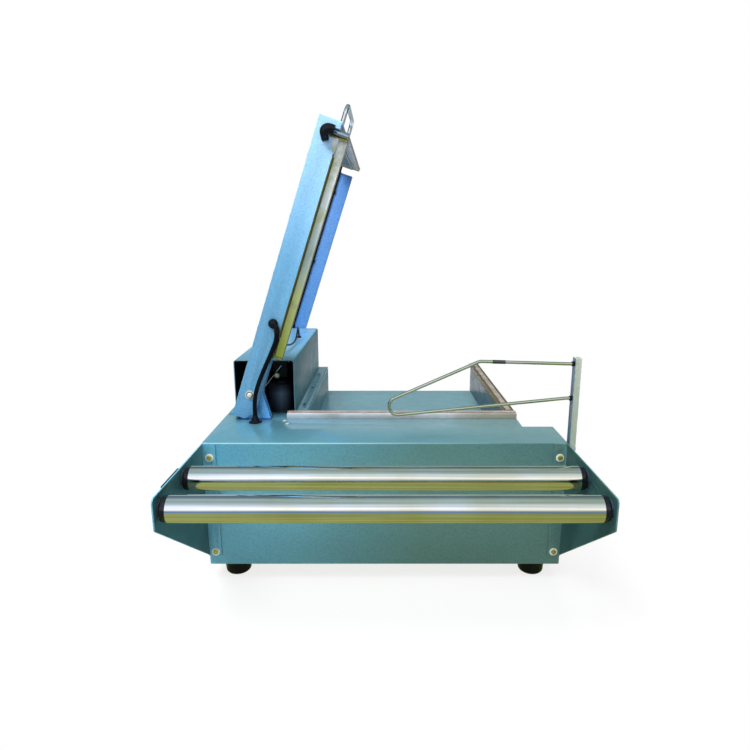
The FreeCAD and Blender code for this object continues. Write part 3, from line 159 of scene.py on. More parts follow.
class Sheet:
    """Meshes worked out as whole arrays and handed to Blender.

    Vertices closer than WELD, or NODE_WELD in the frame's own meshes, are one, in metres. A turn
    under FLAT is flat and one over EDGE gets rounded, in degrees.
    """

    WELD = 1e-7
    NODE_WELD = 2e-6
    FLAT = 1.0
    EDGE = 38.0

    @staticmethod
    def piece(name: str, vertices: np.ndarray, faces: list, smooth: float = 40.0) -> bpy.types.Object:
        """Make an object at the origin from vertices in metres and a list of faces.

        Args:
            name: the piece's name.
            vertices: an n by 3 array.
            faces: lists of vertex numbers.
            smooth: edges turning less than this many degrees are shaded smooth.

        Returns:
            The new object.
        """
        mesh = bpy.data.meshes.new(name)
        mesh.from_pydata(np.asarray(vertices, float).tolist(), [], [list(map(int, face)) for face in faces])
        mesh.update()
        Sheet.clean(mesh, Sheet.WELD, lambda work: bmesh.ops.recalc_face_normals(work, faces=work.faces))
        mesh.set_sharp_from_angle(angle=math.radians(smooth))
        return put(name, mesh)

    @staticmethod
    def clean(mesh: bpy.types.Mesh, weld: float, change: Callable) -> None:
        """Weld a mesh, change it and shade it smooth.

        Args:
            mesh: the mesh.
            weld: vertices closer than this become one, in metres.
            change: a function that is given the welded bmesh.
        """
        work = bmesh.new()
        work.from_mesh(mesh)
        bmesh.ops.remove_doubles(work, verts=work.verts, dist=weld)
        change(work)
        work.to_mesh(mesh)
        work.free()
        mesh.polygons.foreach_set("use_smooth", np.ones(len(mesh.polygons), bool))

    @staticmethod
    def from_curve(curve: bpy.types.Curve) -> Surface:
        """Return the points and faces that Blender makes of a curve or of type.

        Args:
            curve: the curve, which is used up.

        Returns:
            The vertices and faces.
        """
        holder = put(curve.name, curve)
        bpy.context.view_layer.update()
        mesh = bpy.data.meshes.new_from_object(holder)
        points = np.array([vertex.co for vertex in mesh.vertices])
        faces = [list(face.vertices) for face in mesh.polygons]
        bpy.data.objects.remove(holder)
        bpy.data.meshes.remove(mesh)
        return points, faces

    @staticmethod
    def rings(rows: int, sides: int) -> list:
        """Return the quads that join rows of a closed ring to the next row.

        Args:
            rows: the number of rings.
            sides: the number of vertices in each.

        Returns:
            Lists of four vertex numbers.
        """
        index = np.arange(rows * sides).reshape(rows, sides)
        turned = np.roll(index, -1, axis=1)
        quads = np.stack([index[:-1], turned[:-1], turned[1:], index[1:]], axis=-1)
        return quads.reshape(-1, 4).tolist()

    @staticmethod
    def turn_to(points: np.ndarray, place: np.ndarray, axis: Sequence, spin: float = 0.0) -> np.ndarray:
        """Carry points drawn round +z to a place, with +z along an axis.

        Args:
            points: an n by 3 array in metres.
            place: where the drawing's origin goes.
            axis: the direction of the drawing's +z.
            spin: a turn about the axis in degrees, made first.

        Returns:
            The moved points.
        """
        rotation = Vector(axis).normalized().to_track_quat("Z", "Y").to_matrix()
        rotation = rotation @ Matrix.Rotation(math.radians(spin), 3, "Z")
        return points @ np.array(rotation).T + np.asarray(place, float)

    @staticmethod
    def turned(profile: Sequence, sides: int, relief: Optional[Callable] = None) -> Surface:
        """Revolve a profile of radius and height round +z.

        The surface is x = r cos t, y = r sin t, z = h less the relief there.

        Args:
            profile: pairs of radius and height in millimetres, from pole to pole.
            sides: the number of steps round the axis.
            relief: a function of x, y and height in millimetres that gives a depth in millimetres.

        Returns:
            The vertices in metres and the faces.
        """
        radius, height = np.asarray(profile, float).T
        angle = np.linspace(0, 2 * math.pi, sides, endpoint=False)
        x = radius[:, None] * np.cos(angle)
        y = radius[:, None] * np.sin(angle)
        z = np.repeat(height[:, None], sides, axis=1)
        if relief is not None:
            z = z - relief(x, y, z)
        vertices = np.stack([x, y, z], axis=-1).reshape(-1, 3) * MILLIMETRE
        return vertices, Sheet.rings(len(radius), sides)

    @staticmethod
    def swept(path: np.ndarray, radius: np.ndarray, sides: int) -> Surface:
        """Carry a circle along a path on a frame that doesn't twist, and close both ends.

        Each ring is path + r (cos t n + sin t b), with n and b across the path.

        Args:
            path: an n by 3 array in metres.
            radius: the radius at each point, in metres.
            sides: the number of steps round the path.

        Returns:
            The vertices and the faces.
        """
        path = np.asarray(path, float)
        radius = np.broadcast_to(np.asarray(radius, float), len(path))
        tangent = np.gradient(path, axis=0)
        tangent /= np.linalg.norm(tangent, axis=1)[:, None]
        normal = np.cross(tangent[0], [0.0, 0.0, 1.0])
        if np.linalg.norm(normal) < 0.1:
            normal = np.cross(tangent[0], [1.0, 0.0, 0.0])
        normals = []
        for step in tangent:
            normal = normal - step * np.dot(normal, step)
            normal = normal / np.linalg.norm(normal)
            normals.append(normal)
        across = np.array(normals)
        up = np.cross(tangent, across)
        angle = np.linspace(0, 2 * math.pi, sides, endpoint=False)
        ring = np.cos(angle)[None, :, None] * across[:, None, :]
        ring = ring + np.sin(angle)[None, :, None] * up[:, None, :]
        vertices = (path[:, None, :] + radius[:, None, None] * ring).reshape(-1, 3)
        faces = Sheet.rings(len(path), sides)
        last = len(vertices)
        faces += [list(range(sides))[::-1], list(range(last - sides, last))]
        return vertices, faces

    @staticmethod
    def join(parts: Sequence) -> Surface:
        """Put several vertex and face pairs into one.

        Args:
            parts: the pairs.

        Returns:
            One pair.
        """
        vertices = []
        faces = []
        start = 0
        for points, quads in parts:
            vertices.append(points)
            faces += [[number + start for number in face] for face in quads]
            start += len(points)
        return np.concatenate(vertices), faces

    @staticmethod
    def softened(frame: dict, node: str, width: float, steps: int, rim: bool) -> bpy.types.Object:
        """Copy a node's mesh, weld it and round its edges, as folded and broken edges are.

        Args:
            node: the node's name.
            width: the width of the rounding in millimetres.
            steps: the number of segments in the rounding.
            rim: whether the roundings take the piece's second material, a paler finish that paints a
                highlight along the edges.

        Returns:
            The piece that stands for the node.
        """
        mesh = frame["nodes"][node].data.copy()
        mesh.materials.clear()
        Sheet.clean(mesh, Sheet.NODE_WELD, lambda work: bmesh.ops.dissolve_limit(
            work, angle_limit=math.radians(Sheet.FLAT), verts=work.verts, edges=work.edges))
        thing = put(node + "_shell", mesh)
        bevel = thing.modifiers.new("edges", "BEVEL")
        bevel.width = width * MILLIMETRE
        bevel.segments = steps
        bevel.limit_method = "ANGLE"
        bevel.angle_limit = math.radians(Sheet.EDGE)
        bevel.harden_normals = True
        bevel.material = 1 if rim else -1
        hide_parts(node)
        return thing


class Nodes:
    """One material's node tree, with its patterns on Object coordinates."""

    def __init__(self, name: str) -> None:
        """Start a material with a Principled shader.

        Args:
            name: the material's name.
        """
        self.material = bpy.data.materials.new(name)
        self.material.use_nodes = True
        self.tree = self.material.node_tree
        self.shader = self.tree.nodes["Principled BSDF"]
        self.place = self.add("ShaderNodeTexCoord").outputs["Object"]

    def add(self, kind: str, **values: str) -> bpy.types.Node:
        """Add a node and set its properties.

        Args:
            kind: the node's type.
            **values: its properties by name.

        Returns:
            The node.
        """
        node = self.tree.nodes.new(kind)
        for key, value in values.items():
            setattr(node, key, value)
        return node

    def feed(self, target: bpy.types.NodeSocket, source: Value) -> None:
        """Link a socket to a target, or set the target's value.

        Args:
            target: the input to feed.
            source: an output, a number, or three numbers for a colour or a vector.
        """
        if isinstance(source, bpy.types.NodeSocket):
            self.tree.links.new(source, target)
        elif isinstance(source, tuple) and len(source) == 3 and len(target.default_value) == 4:
            target.default_value = (*source, 1.0)
        else:
            target.default_value = source

    def stretched(self, scale: Way) -> bpy.types.NodeSocket:
        """Return Object coordinates scaled by axis.

        Args:
            scale: the factor along each axis.

        Returns:
            The scaled coordinates.
        """
        node = self.add("ShaderNodeVectorMath", operation="MULTIPLY")
        self.feed(node.inputs[0], self.place)
        self.feed(node.inputs[1], scale)
        return node.outputs[0]

    def noise(self, scale: float, detail: float = 3.0,
              vector: Optional[bpy.types.NodeSocket] = None) -> bpy.types.NodeSocket:
        """Return fractal noise of a scale per metre.

        Args:
            scale: how many times it varies in a metre.
            detail: its octaves.
            vector: its coordinates, which are Object ones unless given.

        Returns:
            The noise's grey value.
        """
        node = self.add("ShaderNodeTexNoise")
        self.feed(node.inputs["Vector"], self.place if vector is None else vector)
        self.feed(node.inputs["Scale"], scale)
        self.feed(node.inputs["Detail"], detail)
        return node.outputs["Fac"]

    def cells(self, scale: float, vector: bpy.types.NodeSocket) -> bpy.types.NodeSocket:
        """Return the soft distance to the nearest cell centre.

        Args:
            scale: how many cells fit in a metre.
            vector: the coordinates.

        Returns:
            The distance.
        """
        node = self.add("ShaderNodeTexVoronoi", feature="SMOOTH_F1")
        self.feed(node.inputs["Vector"], vector)
        self.feed(node.inputs["Scale"], scale)
        self.feed(node.inputs["Smoothness"], 0.6)
        return node.outputs["Distance"]

    def ramp(self, source: Value, stops: Sequence) -> bpy.types.NodeSocket:
        """Return a colour ramp's colour.

        Args:
            source: where on the ramp, from 0 to 1.
            stops: pairs of place and colour or grey.

        Returns:
            The colour.
        """
        node = self.add("ShaderNodeValToRGB")
        self.feed(node.inputs["Fac"], source)
        band = node.color_ramp
        while len(band.elements) < len(stops):
            band.elements.new(0.5)
        for element, (place, colour) in zip(band.elements, stops):
            element.position = place
            grey = isinstance(colour, float)
            element.color = (colour, colour, colour, 1.0) if grey else (*colour, 1.0)
        return node.outputs["Color"]

    def blend(self, factor: Value, first: Value, second: Value, mode: str = "MIX") -> bpy.types.NodeSocket:
        """Return a mix of two colours.

        Args:
            factor: the second colour's share.
            first: the colour below.
            second: the colour on top.
            mode: how they mix.

        Returns:
            The mixed colour.
        """
        node = self.add("ShaderNodeMix", data_type="RGBA", blend_type=mode)
        self.feed(node.inputs["Factor"], factor)
        self.feed(node.inputs[6], first)
        self.feed(node.inputs[7], second)
        return node.outputs[2]

    def reckon(self, operation: str, first: Value, second: Value = 0.0,
               third: Value = 0.0) -> bpy.types.NodeSocket:
        """Return one arithmetic step on two or three values.

        Args:
            operation: the step's name.
            first: the first value.
            second: the second value.
            third: the third value, for steps that take one.

        Returns:
            The result.
        """
        node = self.add("ShaderNodeMath", operation=operation)
        for socket, value in zip(node.inputs, (first, second, third)):
            self.feed(socket, value)
        return node.outputs[0]

    def span(self, direction: Sequence, low: float, high: float) -> bpy.types.NodeSocket:
        """Return a value that climbs from 0 to 1 along a direction.

        Args:
            direction: the way it climbs.
            low: the distance from the origin at which it starts, in metres.
            high: the distance at which it ends.

        Returns:
            The value.
        """
        dot = self.add("ShaderNodeVectorMath", operation="DOT_PRODUCT")
        self.feed(dot.inputs[0], self.place)
        self.feed(dot.inputs[1], tuple(float(part) for part in direction))
        node = self.add("ShaderNodeMapRange")
        self.feed(node.inputs["Value"], dot.outputs["Value"])
        self.feed(node.inputs["From Min"], low)
        self.feed(node.inputs["From Max"], high)
        return node.outputs["Result"]

    def relief(self, height: Value, depth: float) -> None:
        """Feed a height to the shader's normal through a bump of a depth in metres.

        Args:
            height: the height, from 0 to 1.
            depth: what 1 stands for, in metres.
        """
        node = self.add("ShaderNodeBump")
        self.feed(node.inputs["Height"], height)
        self.feed(node.inputs["Distance"], depth)
        self.tree.links.new(node.outputs["Normal"], self.shader.inputs["Normal"])

    def show(self, shader: bpy.types.Node) -> None:
        """End the tree with another shader than the Principled one."""
        self.tree.links.new(shader.outputs[0], self.tree.nodes["Material Output"].inputs["Surface"])

    def set(self, **values: Value) -> None:
        """Set or link the shader's own sockets, named with underscores for spaces."""
        for key, value in values.items():
            self.feed(self.shader.inputs[key.replace("_", " ")], value)


_KEPT: dict[str, bpy.types.Material] = {}


@dataclass(frozen=True)
class Finish:
    """A named finish. Subclasses draw it once, and every piece that asks shares it."""

    name: str

    def draw(self, nodes: Nodes) -> None:
        """Draw the finish into a material's nodes."""
        raise NotImplementedError

    def material(self) -> bpy.types.Material:
        """Return the finish's material, made at its first use.

        Returns:
            The material that all its pieces share.
        """
        if self.name not in _KEPT:
            nodes = Nodes(self.name)
            self.draw(nodes)
            _KEPT[self.name] = nodes.material
        return _KEPT[self.name]

    def rim(self) -> Optional["Finish"]:
        """Return the paler finish of the edge roundings, a painted highlight, where it differs."""
        return None

    def dress(self, thing: bpy.types.Object) -> None:
        """Give the finish to a whole object."""
        thing.data.materials.clear()
        thing.data.materials.append(self.material())


@dataclass(frozen=True)
class HammeredPaint(Finish):
    """Hammered enamel on sheet: soft dimples, drifting tone and a thin gloss coat.

    Distances are in metres: the tone drifts from start to end along drift, WARP is how far noise
    moves the dimples' places, and past fold_from along fold_way the colour turns pale, a painted
    highlight along the fold, unless fold_from is NO_FOLD. dimple counts the dimples in a metre and
    edge is how much paler a rim is, a painted highlight on the edge roundings.
    """

    NO_FOLD = 99.0
    BARE = (0.42, 0.72, 0.80)
    WARP = (0.006, 0.006, 0.006)

    near_colour: Colour = (0.12, 0.30, 0.40)
    far_colour: Colour = (0.10, 0.24, 0.25)
    drift: Way = RIGHT
    start: float = -0.32
    end: float = 0.32
    dimple: float = 300.0
    mottle: float = 0.45
    depth: float = 0.00016
    gloss: float = 0.36
    coat: float = 0.45
    sheen: float = 0.5
    edge: float = 1.5
    fold_way: Way = UP
    fold_from: float = NO_FOLD

    def rim(self) -> Optional[Finish]:
        """Return the paint of the edge roundings: paler, as a painted highlight, and the same at every
        edge.

        Returns:
            The paler paint.
        """
        paler = {key: tuple(min(0.9, part * self.edge + 0.03) for part in getattr(self, key))
                 for key in ("near_colour", "far_colour")}
        return replace(self, name=self.name + "_lit_rim", gloss=0.30, edge=1.0, **paler)

    def draw(self, nodes: Nodes) -> None:
        """Draw dimples as soft cells on warped coordinates, and tone that drifts along one way.

        Past fold_from along fold_way the colour turns to a pale painted highlight along the fold, most so
        to the left.

        Args:
            nodes: the material's nodes.
        """
        warp = nodes.add("ShaderNodeTexNoise")
        nodes.feed(warp.inputs["Vector"], nodes.place)
        nodes.feed(warp.inputs["Scale"], 120.0)
        moved = nodes.add("ShaderNodeVectorMath", operation="MULTIPLY_ADD")
        nodes.feed(moved.inputs[0], warp.outputs["Color"])
        nodes.feed(moved.inputs[1], self.WARP)
        nodes.feed(moved.inputs[2], nodes.place)
        dimples = nodes.cells(self.dimple, moved.outputs[0])
        flakes = nodes.noise(900.0, 2.0)
        tone = nodes.blend(nodes.span(self.drift, self.start, self.end), self.near_colour, self.far_colour)
        shade = nodes.ramp(dimples, [(0.0, 1 + 0.16 * self.mottle), (0.45, 1.0),
                                     (0.95, 1 - 0.22 * self.mottle)])
        tone = nodes.blend(1.0, tone, shade, "MULTIPLY")
        cloud = nodes.ramp(nodes.noise(5.0, 4.0), [(0.3, 0.93), (0.7, 1.06)])
        tone = nodes.blend(1.0, tone, cloud, "MULTIPLY")
        glint = nodes.ramp(flakes, [(0.55, 0.0), (0.75, 0.3 * self.mottle)])
        tone = nodes.blend(glint, tone, tuple(min(1.0, part * 1.7) for part in self.near_colour))
        # Painted highlight along the fold, fading out towards the right.
        if self.fold_from < self.NO_FOLD:
            past = nodes.span(self.fold_way, self.fold_from, self.fold_from + 0.0004)
            lit_fold = nodes.reckon("MULTIPLY", past, nodes.span((-1.0, 0.0, 0.0), -0.22, 0.15))
            tone = nodes.blend(nodes.reckon("MULTIPLY", lit_fold, 0.8), tone, self.BARE)
        rough = nodes.ramp(nodes.noise(40.0, 5.0), [(0.3, self.gloss - 0.06), (0.7, self.gloss + 0.10)])
        nodes.set(Base_Color=tone, Roughness=rough, Coat_Weight=self.coat, Coat_Roughness=0.14,
                  Metallic=0.15, Specular_IOR_Level=self.sheen)
        nodes.relief(dimples, self.depth)


@dataclass(frozen=True)
class BrightMetal(Finish):
    """Plated or bare metal with a fine grain along one way and uneven polish.

    grain is how often the grain varies in a metre along x, y and z, fineness the streaks' share of
    that and streak their depth. The tint gathers from start to end along drift, in metres.
    """

    colour: Colour = (0.80, 0.80, 0.81)
    tint: Colour = (0.72, 0.72, 0.70)
    rough: float = 0.12
    metal: float = 1.0
    grain: Way = (8.0, 900.0, 900.0)
    depth: float = 0.00001
    drift: Way = RIGHT
    start: float = -0.3
    end: float = 0.3
    streak: float = 0.14
    fineness: float = 0.3

    def draw(self, nodes: Nodes) -> None:
        """Draw long grain from stretched noise, tint that gathers along one way and uneven polish.

        Args:
            nodes: the material's nodes.
        """
        grain = nodes.noise(1.0, 4.0, nodes.stretched(self.grain))
        cloud = nodes.reckon("MULTIPLY_ADD", nodes.span(self.drift, self.start, self.end), 0.35,
                             nodes.noise(14.0, 4.0))
        tone = nodes.blend(nodes.ramp(cloud, [(0.45, 0.0), (0.85, 1.0)]), self.colour, self.tint)
        lines = nodes.stretched(tuple(part * self.fineness for part in self.grain))
        streak = nodes.ramp(nodes.noise(1.0, 2.0, lines),
                            [(0.30, 1 - self.streak), (0.70, 1 + 0.36 * self.streak)])
        tone = nodes.blend(1.0, tone, streak, "MULTIPLY")
        rough = nodes.reckon("MULTIPLY_ADD", nodes.noise(60.0, 5.0), 0.10, self.rough - 0.04)
        nodes.set(Base_Color=tone, Metallic=self.metal, Roughness=rough)
        nodes.relief(grain, self.depth)


@dataclass(frozen=True)
class StainedBar(Finish):
    """Taped sealing bar: pale at the top of the lid, browned and oily towards the pivot.

    The stain runs from low to high along direction. Short of seam along across, the bar is OILED,
    but for the last CLEAN_END of it. All are in metres, and gain brightens or darkens the colours,
    for lit and shaded copies of the bar: painted light and shade.
    """

    CLEAN_END = 0.034
    OILED = (0.125, 0.108, 0.004)
    BLOTCH = (0.30, 0.34, 0.15)
    STAIN = ((0.05, (0.45, 0.45, 0.05)), (0.25, (0.45, 0.50, 0.20)), (0.50, (0.30, 0.40, 0.40)),
             (0.90, (0.60, 0.65, 0.75)))

    direction: Way
    low: float
    high: float
    across: Way
    seam: float
    gain: float = 1.0

    def lit(self, colour: Colour) -> Colour:
        """Return a colour brightened by the gain, up to white."""
        return tuple(min(1.0, part * self.gain) for part in colour)

    def draw(self, nodes: Nodes) -> None:
        """Draw the stain as a ramp along the bar, broken by noise, with green-yellow blotches.

        Args:
            nodes: the material's nodes.
        """
        way = nodes.span(self.direction, self.low, self.high)
        way = nodes.reckon("ADD", way, nodes.reckon("MULTIPLY", nodes.noise(30.0, 4.0), 0.16))
        way = nodes.reckon("SUBTRACT", way, 0.08)
        tone = nodes.ramp(way, [(place, self.lit(colour)) for place, colour in self.STAIN])
        blotch = nodes.ramp(nodes.noise(45.0, 5.0), [(0.47, 0.0), (0.64, 0.70)])
        tone = nodes.blend(blotch, tone, self.lit(self.BLOTCH))
        clean = nodes.reckon("MAXIMUM", nodes.span(self.across, self.seam, self.seam + 0.0006),
                             nodes.span(self.direction, self.high - self.CLEAN_END,
                                        self.high - self.CLEAN_END + 0.003))
        tone = nodes.blend(clean, self.OILED, tone)
        nodes.set(Base_Color=tone, Metallic=0.1, Roughness=0.38, Coat_Weight=0.3, Coat_Roughness=0.15)
        nodes.relief(nodes.noise(140.0, 4.0), 0.00008)


@dataclass(frozen=True)
class Moulding(Finish):
    """Moulded rubber or plastic with fine grain and dulled, dusty patches."""

    colour: Colour = (0.010, 0.010, 0.011)
    worn: Colour = (0.035, 0.035, 0.036)
    rough: float = 0.42
    grain: float = 700.0
    depth: float = 0.00004
    sheen: float = 0.2

    def draw(self, nodes: Nodes) -> None:
        """Draw colour from worn patches and a fine even grain.

        Args:
            nodes: the material's nodes.
        """
        patch = nodes.ramp(nodes.noise(35.0, 5.0), [(0.45, 0.0), (0.75, 1.0)])
        tone = nodes.blend(patch, self.colour, self.worn)
        rough = nodes.ramp(nodes.noise(80.0, 4.0), [(0.3, self.rough - 0.07), (0.7, self.rough + 0.12)])
        nodes.set(Base_Color=tone, Roughness=rough, Specular_IOR_Level=self.sheen)
        nodes.relief(nodes.noise(self.grain, 2.0), self.depth)


@dataclass(frozen=True)
class CanEnamel(Finish):
    """Dark enamel on a standing can, with a painted highlight down its front and painted shade at its sides
    and rim.

    middle is the can's place along x, radius its half width, and foot and top its heights, in metres.
    colour is the painted highlight's colour and dark the painted shade's.
    """

    colour: Colour = (0.105, 0.150, 0.215)
    dark: Colour = (0.004, 0.005, 0.009)
    middle: float = 0.0
    radius: float = 0.025
    foot: float = 0.0
    top: float = 1.0

    def draw(self, nodes: Nodes) -> None:
        """Draw the painted highlight as one ramp across the can times another up it, on painted shade.

        Args:
            nodes: the material's nodes.
        """
        across = nodes.span(RIGHT, self.middle - self.radius, self.middle + self.radius)
        band = nodes.ramp(across, [(0.05, 0.0), (0.55, 1.0), (0.98, 0.0)])
        height = nodes.span(UP, self.foot, self.top)
        rise = nodes.ramp(height, [(0.0, 0.2), (0.4, 0.7), (0.66, 1.0), (0.86, 0.2)])
        tone = nodes.blend(nodes.reckon("MULTIPLY", band, rise), self.dark, self.colour)
        nodes.set(Base_Color=tone, Roughness=0.42, Specular_IOR_Level=0.12)
        nodes.relief(nodes.noise(250.0, 2.0), 0.00002)


@dataclass(frozen=True)
class Board(Finish):
    """Laminated insulating board with fibres of two browns."""

    colour: Colour = (0.22, 0.20, 0.004)
    dark: Colour = (0.11, 0.095, 0.0)

    def draw(self, nodes: Nodes) -> None:
        """Draw fibres as stretched noise between the two browns.

        Args:
            nodes: the material's nodes.
        """
        fibre = nodes.noise(1.0, 5.0, nodes.stretched((200.0, 200.0, 60.0)))
        tone = nodes.blend(nodes.ramp(fibre, [(0.35, 0.0), (0.7, 1.0)]), self.colour, self.dark)
        nodes.set(Base_Color=tone, Roughness=0.5, Coat_Weight=0.4, Coat_Roughness=0.2)
        nodes.relief(fibre, 0.00005)


@dataclass(frozen=True)
class Lens(Finish):
    """Clear coloured plastic for the lamp."""

    colour: Colour = (0.60, 0.03, 0.02)

    def draw(self, nodes: Nodes) -> None:
        """Draw a deep colour that clouds a little under a polished skin.

        Args:
            nodes: the material's nodes.
        """
        depth = nodes.ramp(nodes.noise(120.0, 2.0), [(0.3, 0.8), (0.7, 1.15)])
        tone = nodes.blend(1.0, self.colour, depth, "MULTIPLY")
        nodes.set(Base_Color=tone, Roughness=0.12, Coat_Weight=0.8, Coat_Roughness=0.05)


# The casing's front: its tone darkens and greens from left to right, painted shade as the light falls from
# the left, and it is lighter than the deck's top, painted light that makes up for the light from above.
CASING_PAINT = HammeredPaint("casing_enamel", near_colour=(0.115, 0.40, 0.57),
                             far_colour=(0.083, 0.20, 0.19), start=-0.32, end=0.06, edge=1.9,
                             mottle=0.8, depth=0.0002)
# The deck's top: the casing's enamel in a darker tone than the front's, painted shade, also darker and
# greener to the right.
DECK_TOP = HammeredPaint("deck_enamel", near_colour=(0.085, 0.255, 0.345),
                         far_colour=(0.095, 0.225, 0.245), start=-0.32, end=0.2, coat=1.0)
SHADED_CASING = HammeredPaint("shaded_casing_enamel", near_colour=(0.040, 0.12, 0.13),
                              far_colour=(0.030, 0.085, 0.085), coat=0.08, sheen=0.15, edge=2.4)
DECK_PAINT = HammeredPaint("tray_enamel", near_colour=(0.11, 0.28, 0.36), far_colour=(0.12, 0.25, 0.29))
HOOD_PAINT = HammeredPaint("hood_enamel", near_colour=(0.10, 0.22, 0.27),
                           far_colour=(0.20, 0.50, 0.85), drift=BACK, start=-0.05, end=0.35)
SHADED_HOOD = HammeredPaint("shaded_hood_enamel", near_colour=(0.055, 0.205, 0.25),
                            far_colour=(0.060, 0.205, 0.24), coat=0.08, sheen=0.2, gloss=0.45,
                            depth=0.0001)
SHADED_TRAY = HammeredPaint("shaded_tray_enamel", near_colour=(0.035, 0.09, 0.13),
                            far_colour=(0.05, 0.12, 0.18), drift=UP, start=0.12, end=0.28, coat=0.1,
                            sheen=0.25)
SHADED_POST = HammeredPaint("shaded_post_enamel", near_colour=(0.05, 0.10, 0.16),
                            far_colour=(0.07, 0.14, 0.22), drift=UP, start=0.15, end=0.40, coat=0.3)
SHADED_LID = HammeredPaint("shaded_lid_enamel", near_colour=(0.09, 0.13, 0.11),
                           far_colour=(0.10, 0.14, 0.13), coat=0.1, sheen=0.2)
# Near black for the faces inside the hood and the anchors there: painted shade.
INNER_SHADE = Moulding("inner_shade", colour=(0.006, 0.008, 0.010), worn=(0.012, 0.014, 0.018),
                       rough=0.55, grain=300.0, depth=0.00003)
# The pivot brackets' paint darkens to deep blue at their foot: painted shadow where they stand on the deck.
BLUE_PAINT = HammeredPaint("pivot_bracket_enamel", near_colour=(0.004, 0.055, 0.34),
                           far_colour=(0.13, 0.45, 0.88), drift=UP, gloss=0.25)
BLACK_RUBBER = Moulding("black_rubber", colour=(0.004, 0.005, 0.007), worn=(0.007, 0.008, 0.010),
                        rough=0.25, sheen=0.14)
GLOSSY_RUBBER = replace(BLACK_RUBBER, name="glossy_rubber", rough=0.12, sheen=0.22)
BLACK_ENAMEL = Moulding("black_enamel", colour=(0.028, 0.044, 0.068), worn=(0.044, 0.060, 0.090),
                        rough=0.34, grain=250.0, depth=0.00002, sheen=0.4)
PRINT = Moulding("printed_scale", colour=(0.80, 0.80, 0.78), worn=(0.70, 0.70, 0.68), rough=0.4)
BRIGHT_PLATE = Moulding("dull_nickel", colour=(0.80, 0.82, 0.78), worn=(0.66, 0.67, 0.50), rough=0.25,
                        sheen=0.6)
WORN_PLATE = Moulding("worn_nickel", colour=(0.46, 0.47, 0.40), worn=(0.66, 0.66, 0.60), rough=0.3,
                      sheen=0.6)
BLACK_PLASTIC = Moulding("black_plastic", colour=(0.004, 0.005, 0.007), worn=(0.008, 0.009, 0.011),
                         rough=0.22, grain=1500.0, depth=0.00001, sheen=0.15)
SHEATH = Moulding("cable_sheath", colour=(0.002, 0.003, 0.005), worn=(0.004, 0.005, 0.009), rough=0.17,
                  grain=300.0, depth=0.00001, sheen=0.13)
SILICONE = Moulding("silicone_insert", colour=(0.24, 0.20, 0.18), worn=(0.36, 0.32, 0.30), rough=0.55)
CHROME = BrightMetal("roller_chrome", colour=(0.94, 0.95, 0.96), tint=(0.84, 0.82, 0.68), rough=0.08,
                     grain=(3.0, 300.0, 300.0), depth=0.00003, streak=0.28, fineness=1.0)
ROD_CHROME = BrightMetal("rod_chrome", colour=(0.76, 0.79, 0.70), tint=(0.62, 0.64, 0.46), rough=0.16)
HANDLE_CHROME = BrightMetal("handle_chrome", colour=(0.80, 0.84, 0.90), tint=(0.66, 0.70, 0.74),
                            rough=0.12)
CLAMP_STEEL = BrightMetal("clamp_steel", colour=(0.46, 0.54, 0.66), tint=(0.36, 0.42, 0.50), rough=0.20)
ALUMINIUM = BrightMetal("brushed_aluminium", colour=(0.84, 0.83, 0.92), tint=(0.44, 0.40, 0.32),
                        rough=0.40, metal=0.45, grain=(10.0, 700.0, 700.0), depth=0.00003, start=-0.10,
                        end=0.25)
SIDE_ALUMINIUM = BrightMetal("side_aluminium", colour=(0.25, 0.215, 0.135), tint=(0.22, 0.18, 0.09),
                             rough=0.45, metal=0.6, grain=(700.0, 10.0, 700.0), depth=0.00003)
ZINC = BrightMetal("bright_zinc", colour=(0.80, 0.80, 0.78), tint=(0.70, 0.66, 0.48), rough=0.24)
YELLOW_ZINC = BrightMetal("yellow_zinc", colour=(0.50, 0.50, 0.15), tint=(0.38, 0.36, 0.08),
                          rough=0.24, metal=0.5)
STEEL = BrightMetal("ground_steel", colour=(0.55, 0.55, 0.56), tint=(0.42, 0.41, 0.40), rough=0.26)
DARK_STEEL = BrightMetal("oiled_steel", colour=(0.20, 0.20, 0.21), tint=(0.12, 0.11, 0.10), rough=0.30)
BRONZE = BrightMetal("bush_bronze", colour=(0.55, 0.38, 0.18), tint=(0.40, 0.28, 0.14), rough=0.32)
POST_PAINT = HammeredPaint("post_enamel", near_colour=(0.36, 0.46, 0.42),
                           far_colour=(0.44, 0.50, 0.40), drift=UP, start=0.15, end=0.40, gloss=0.22,
                           dimple=500.0)
WIRE_STEEL = BrightMetal("heated_wire", colour=(0.36, 0.30, 0.22), tint=(0.22, 0.16, 0.12), rough=0.35)
BOARD = Board("insulating_board")


LAMP_WHITE: Colour = (1.0, 1.0, 1.0)
SKY_BLUE: Colour = (0.65, 0.75, 0.90)
DUSK_BLUE: Colour = (0.15, 0.25, 0.40)
CEILING_GREY: Colour = (0.30, 0.40, 0.40)
SHADE_GREY: Colour = (0.10, 0.15, 0.20)
BENCH_OLIVE: Colour = (0.27, 0.30, 0.10)


class Recess(Enum):
    """The drive cut in a screw's head."""

    CROSS = "cross"
    SOCKET = "socket"
    NONE = "none"


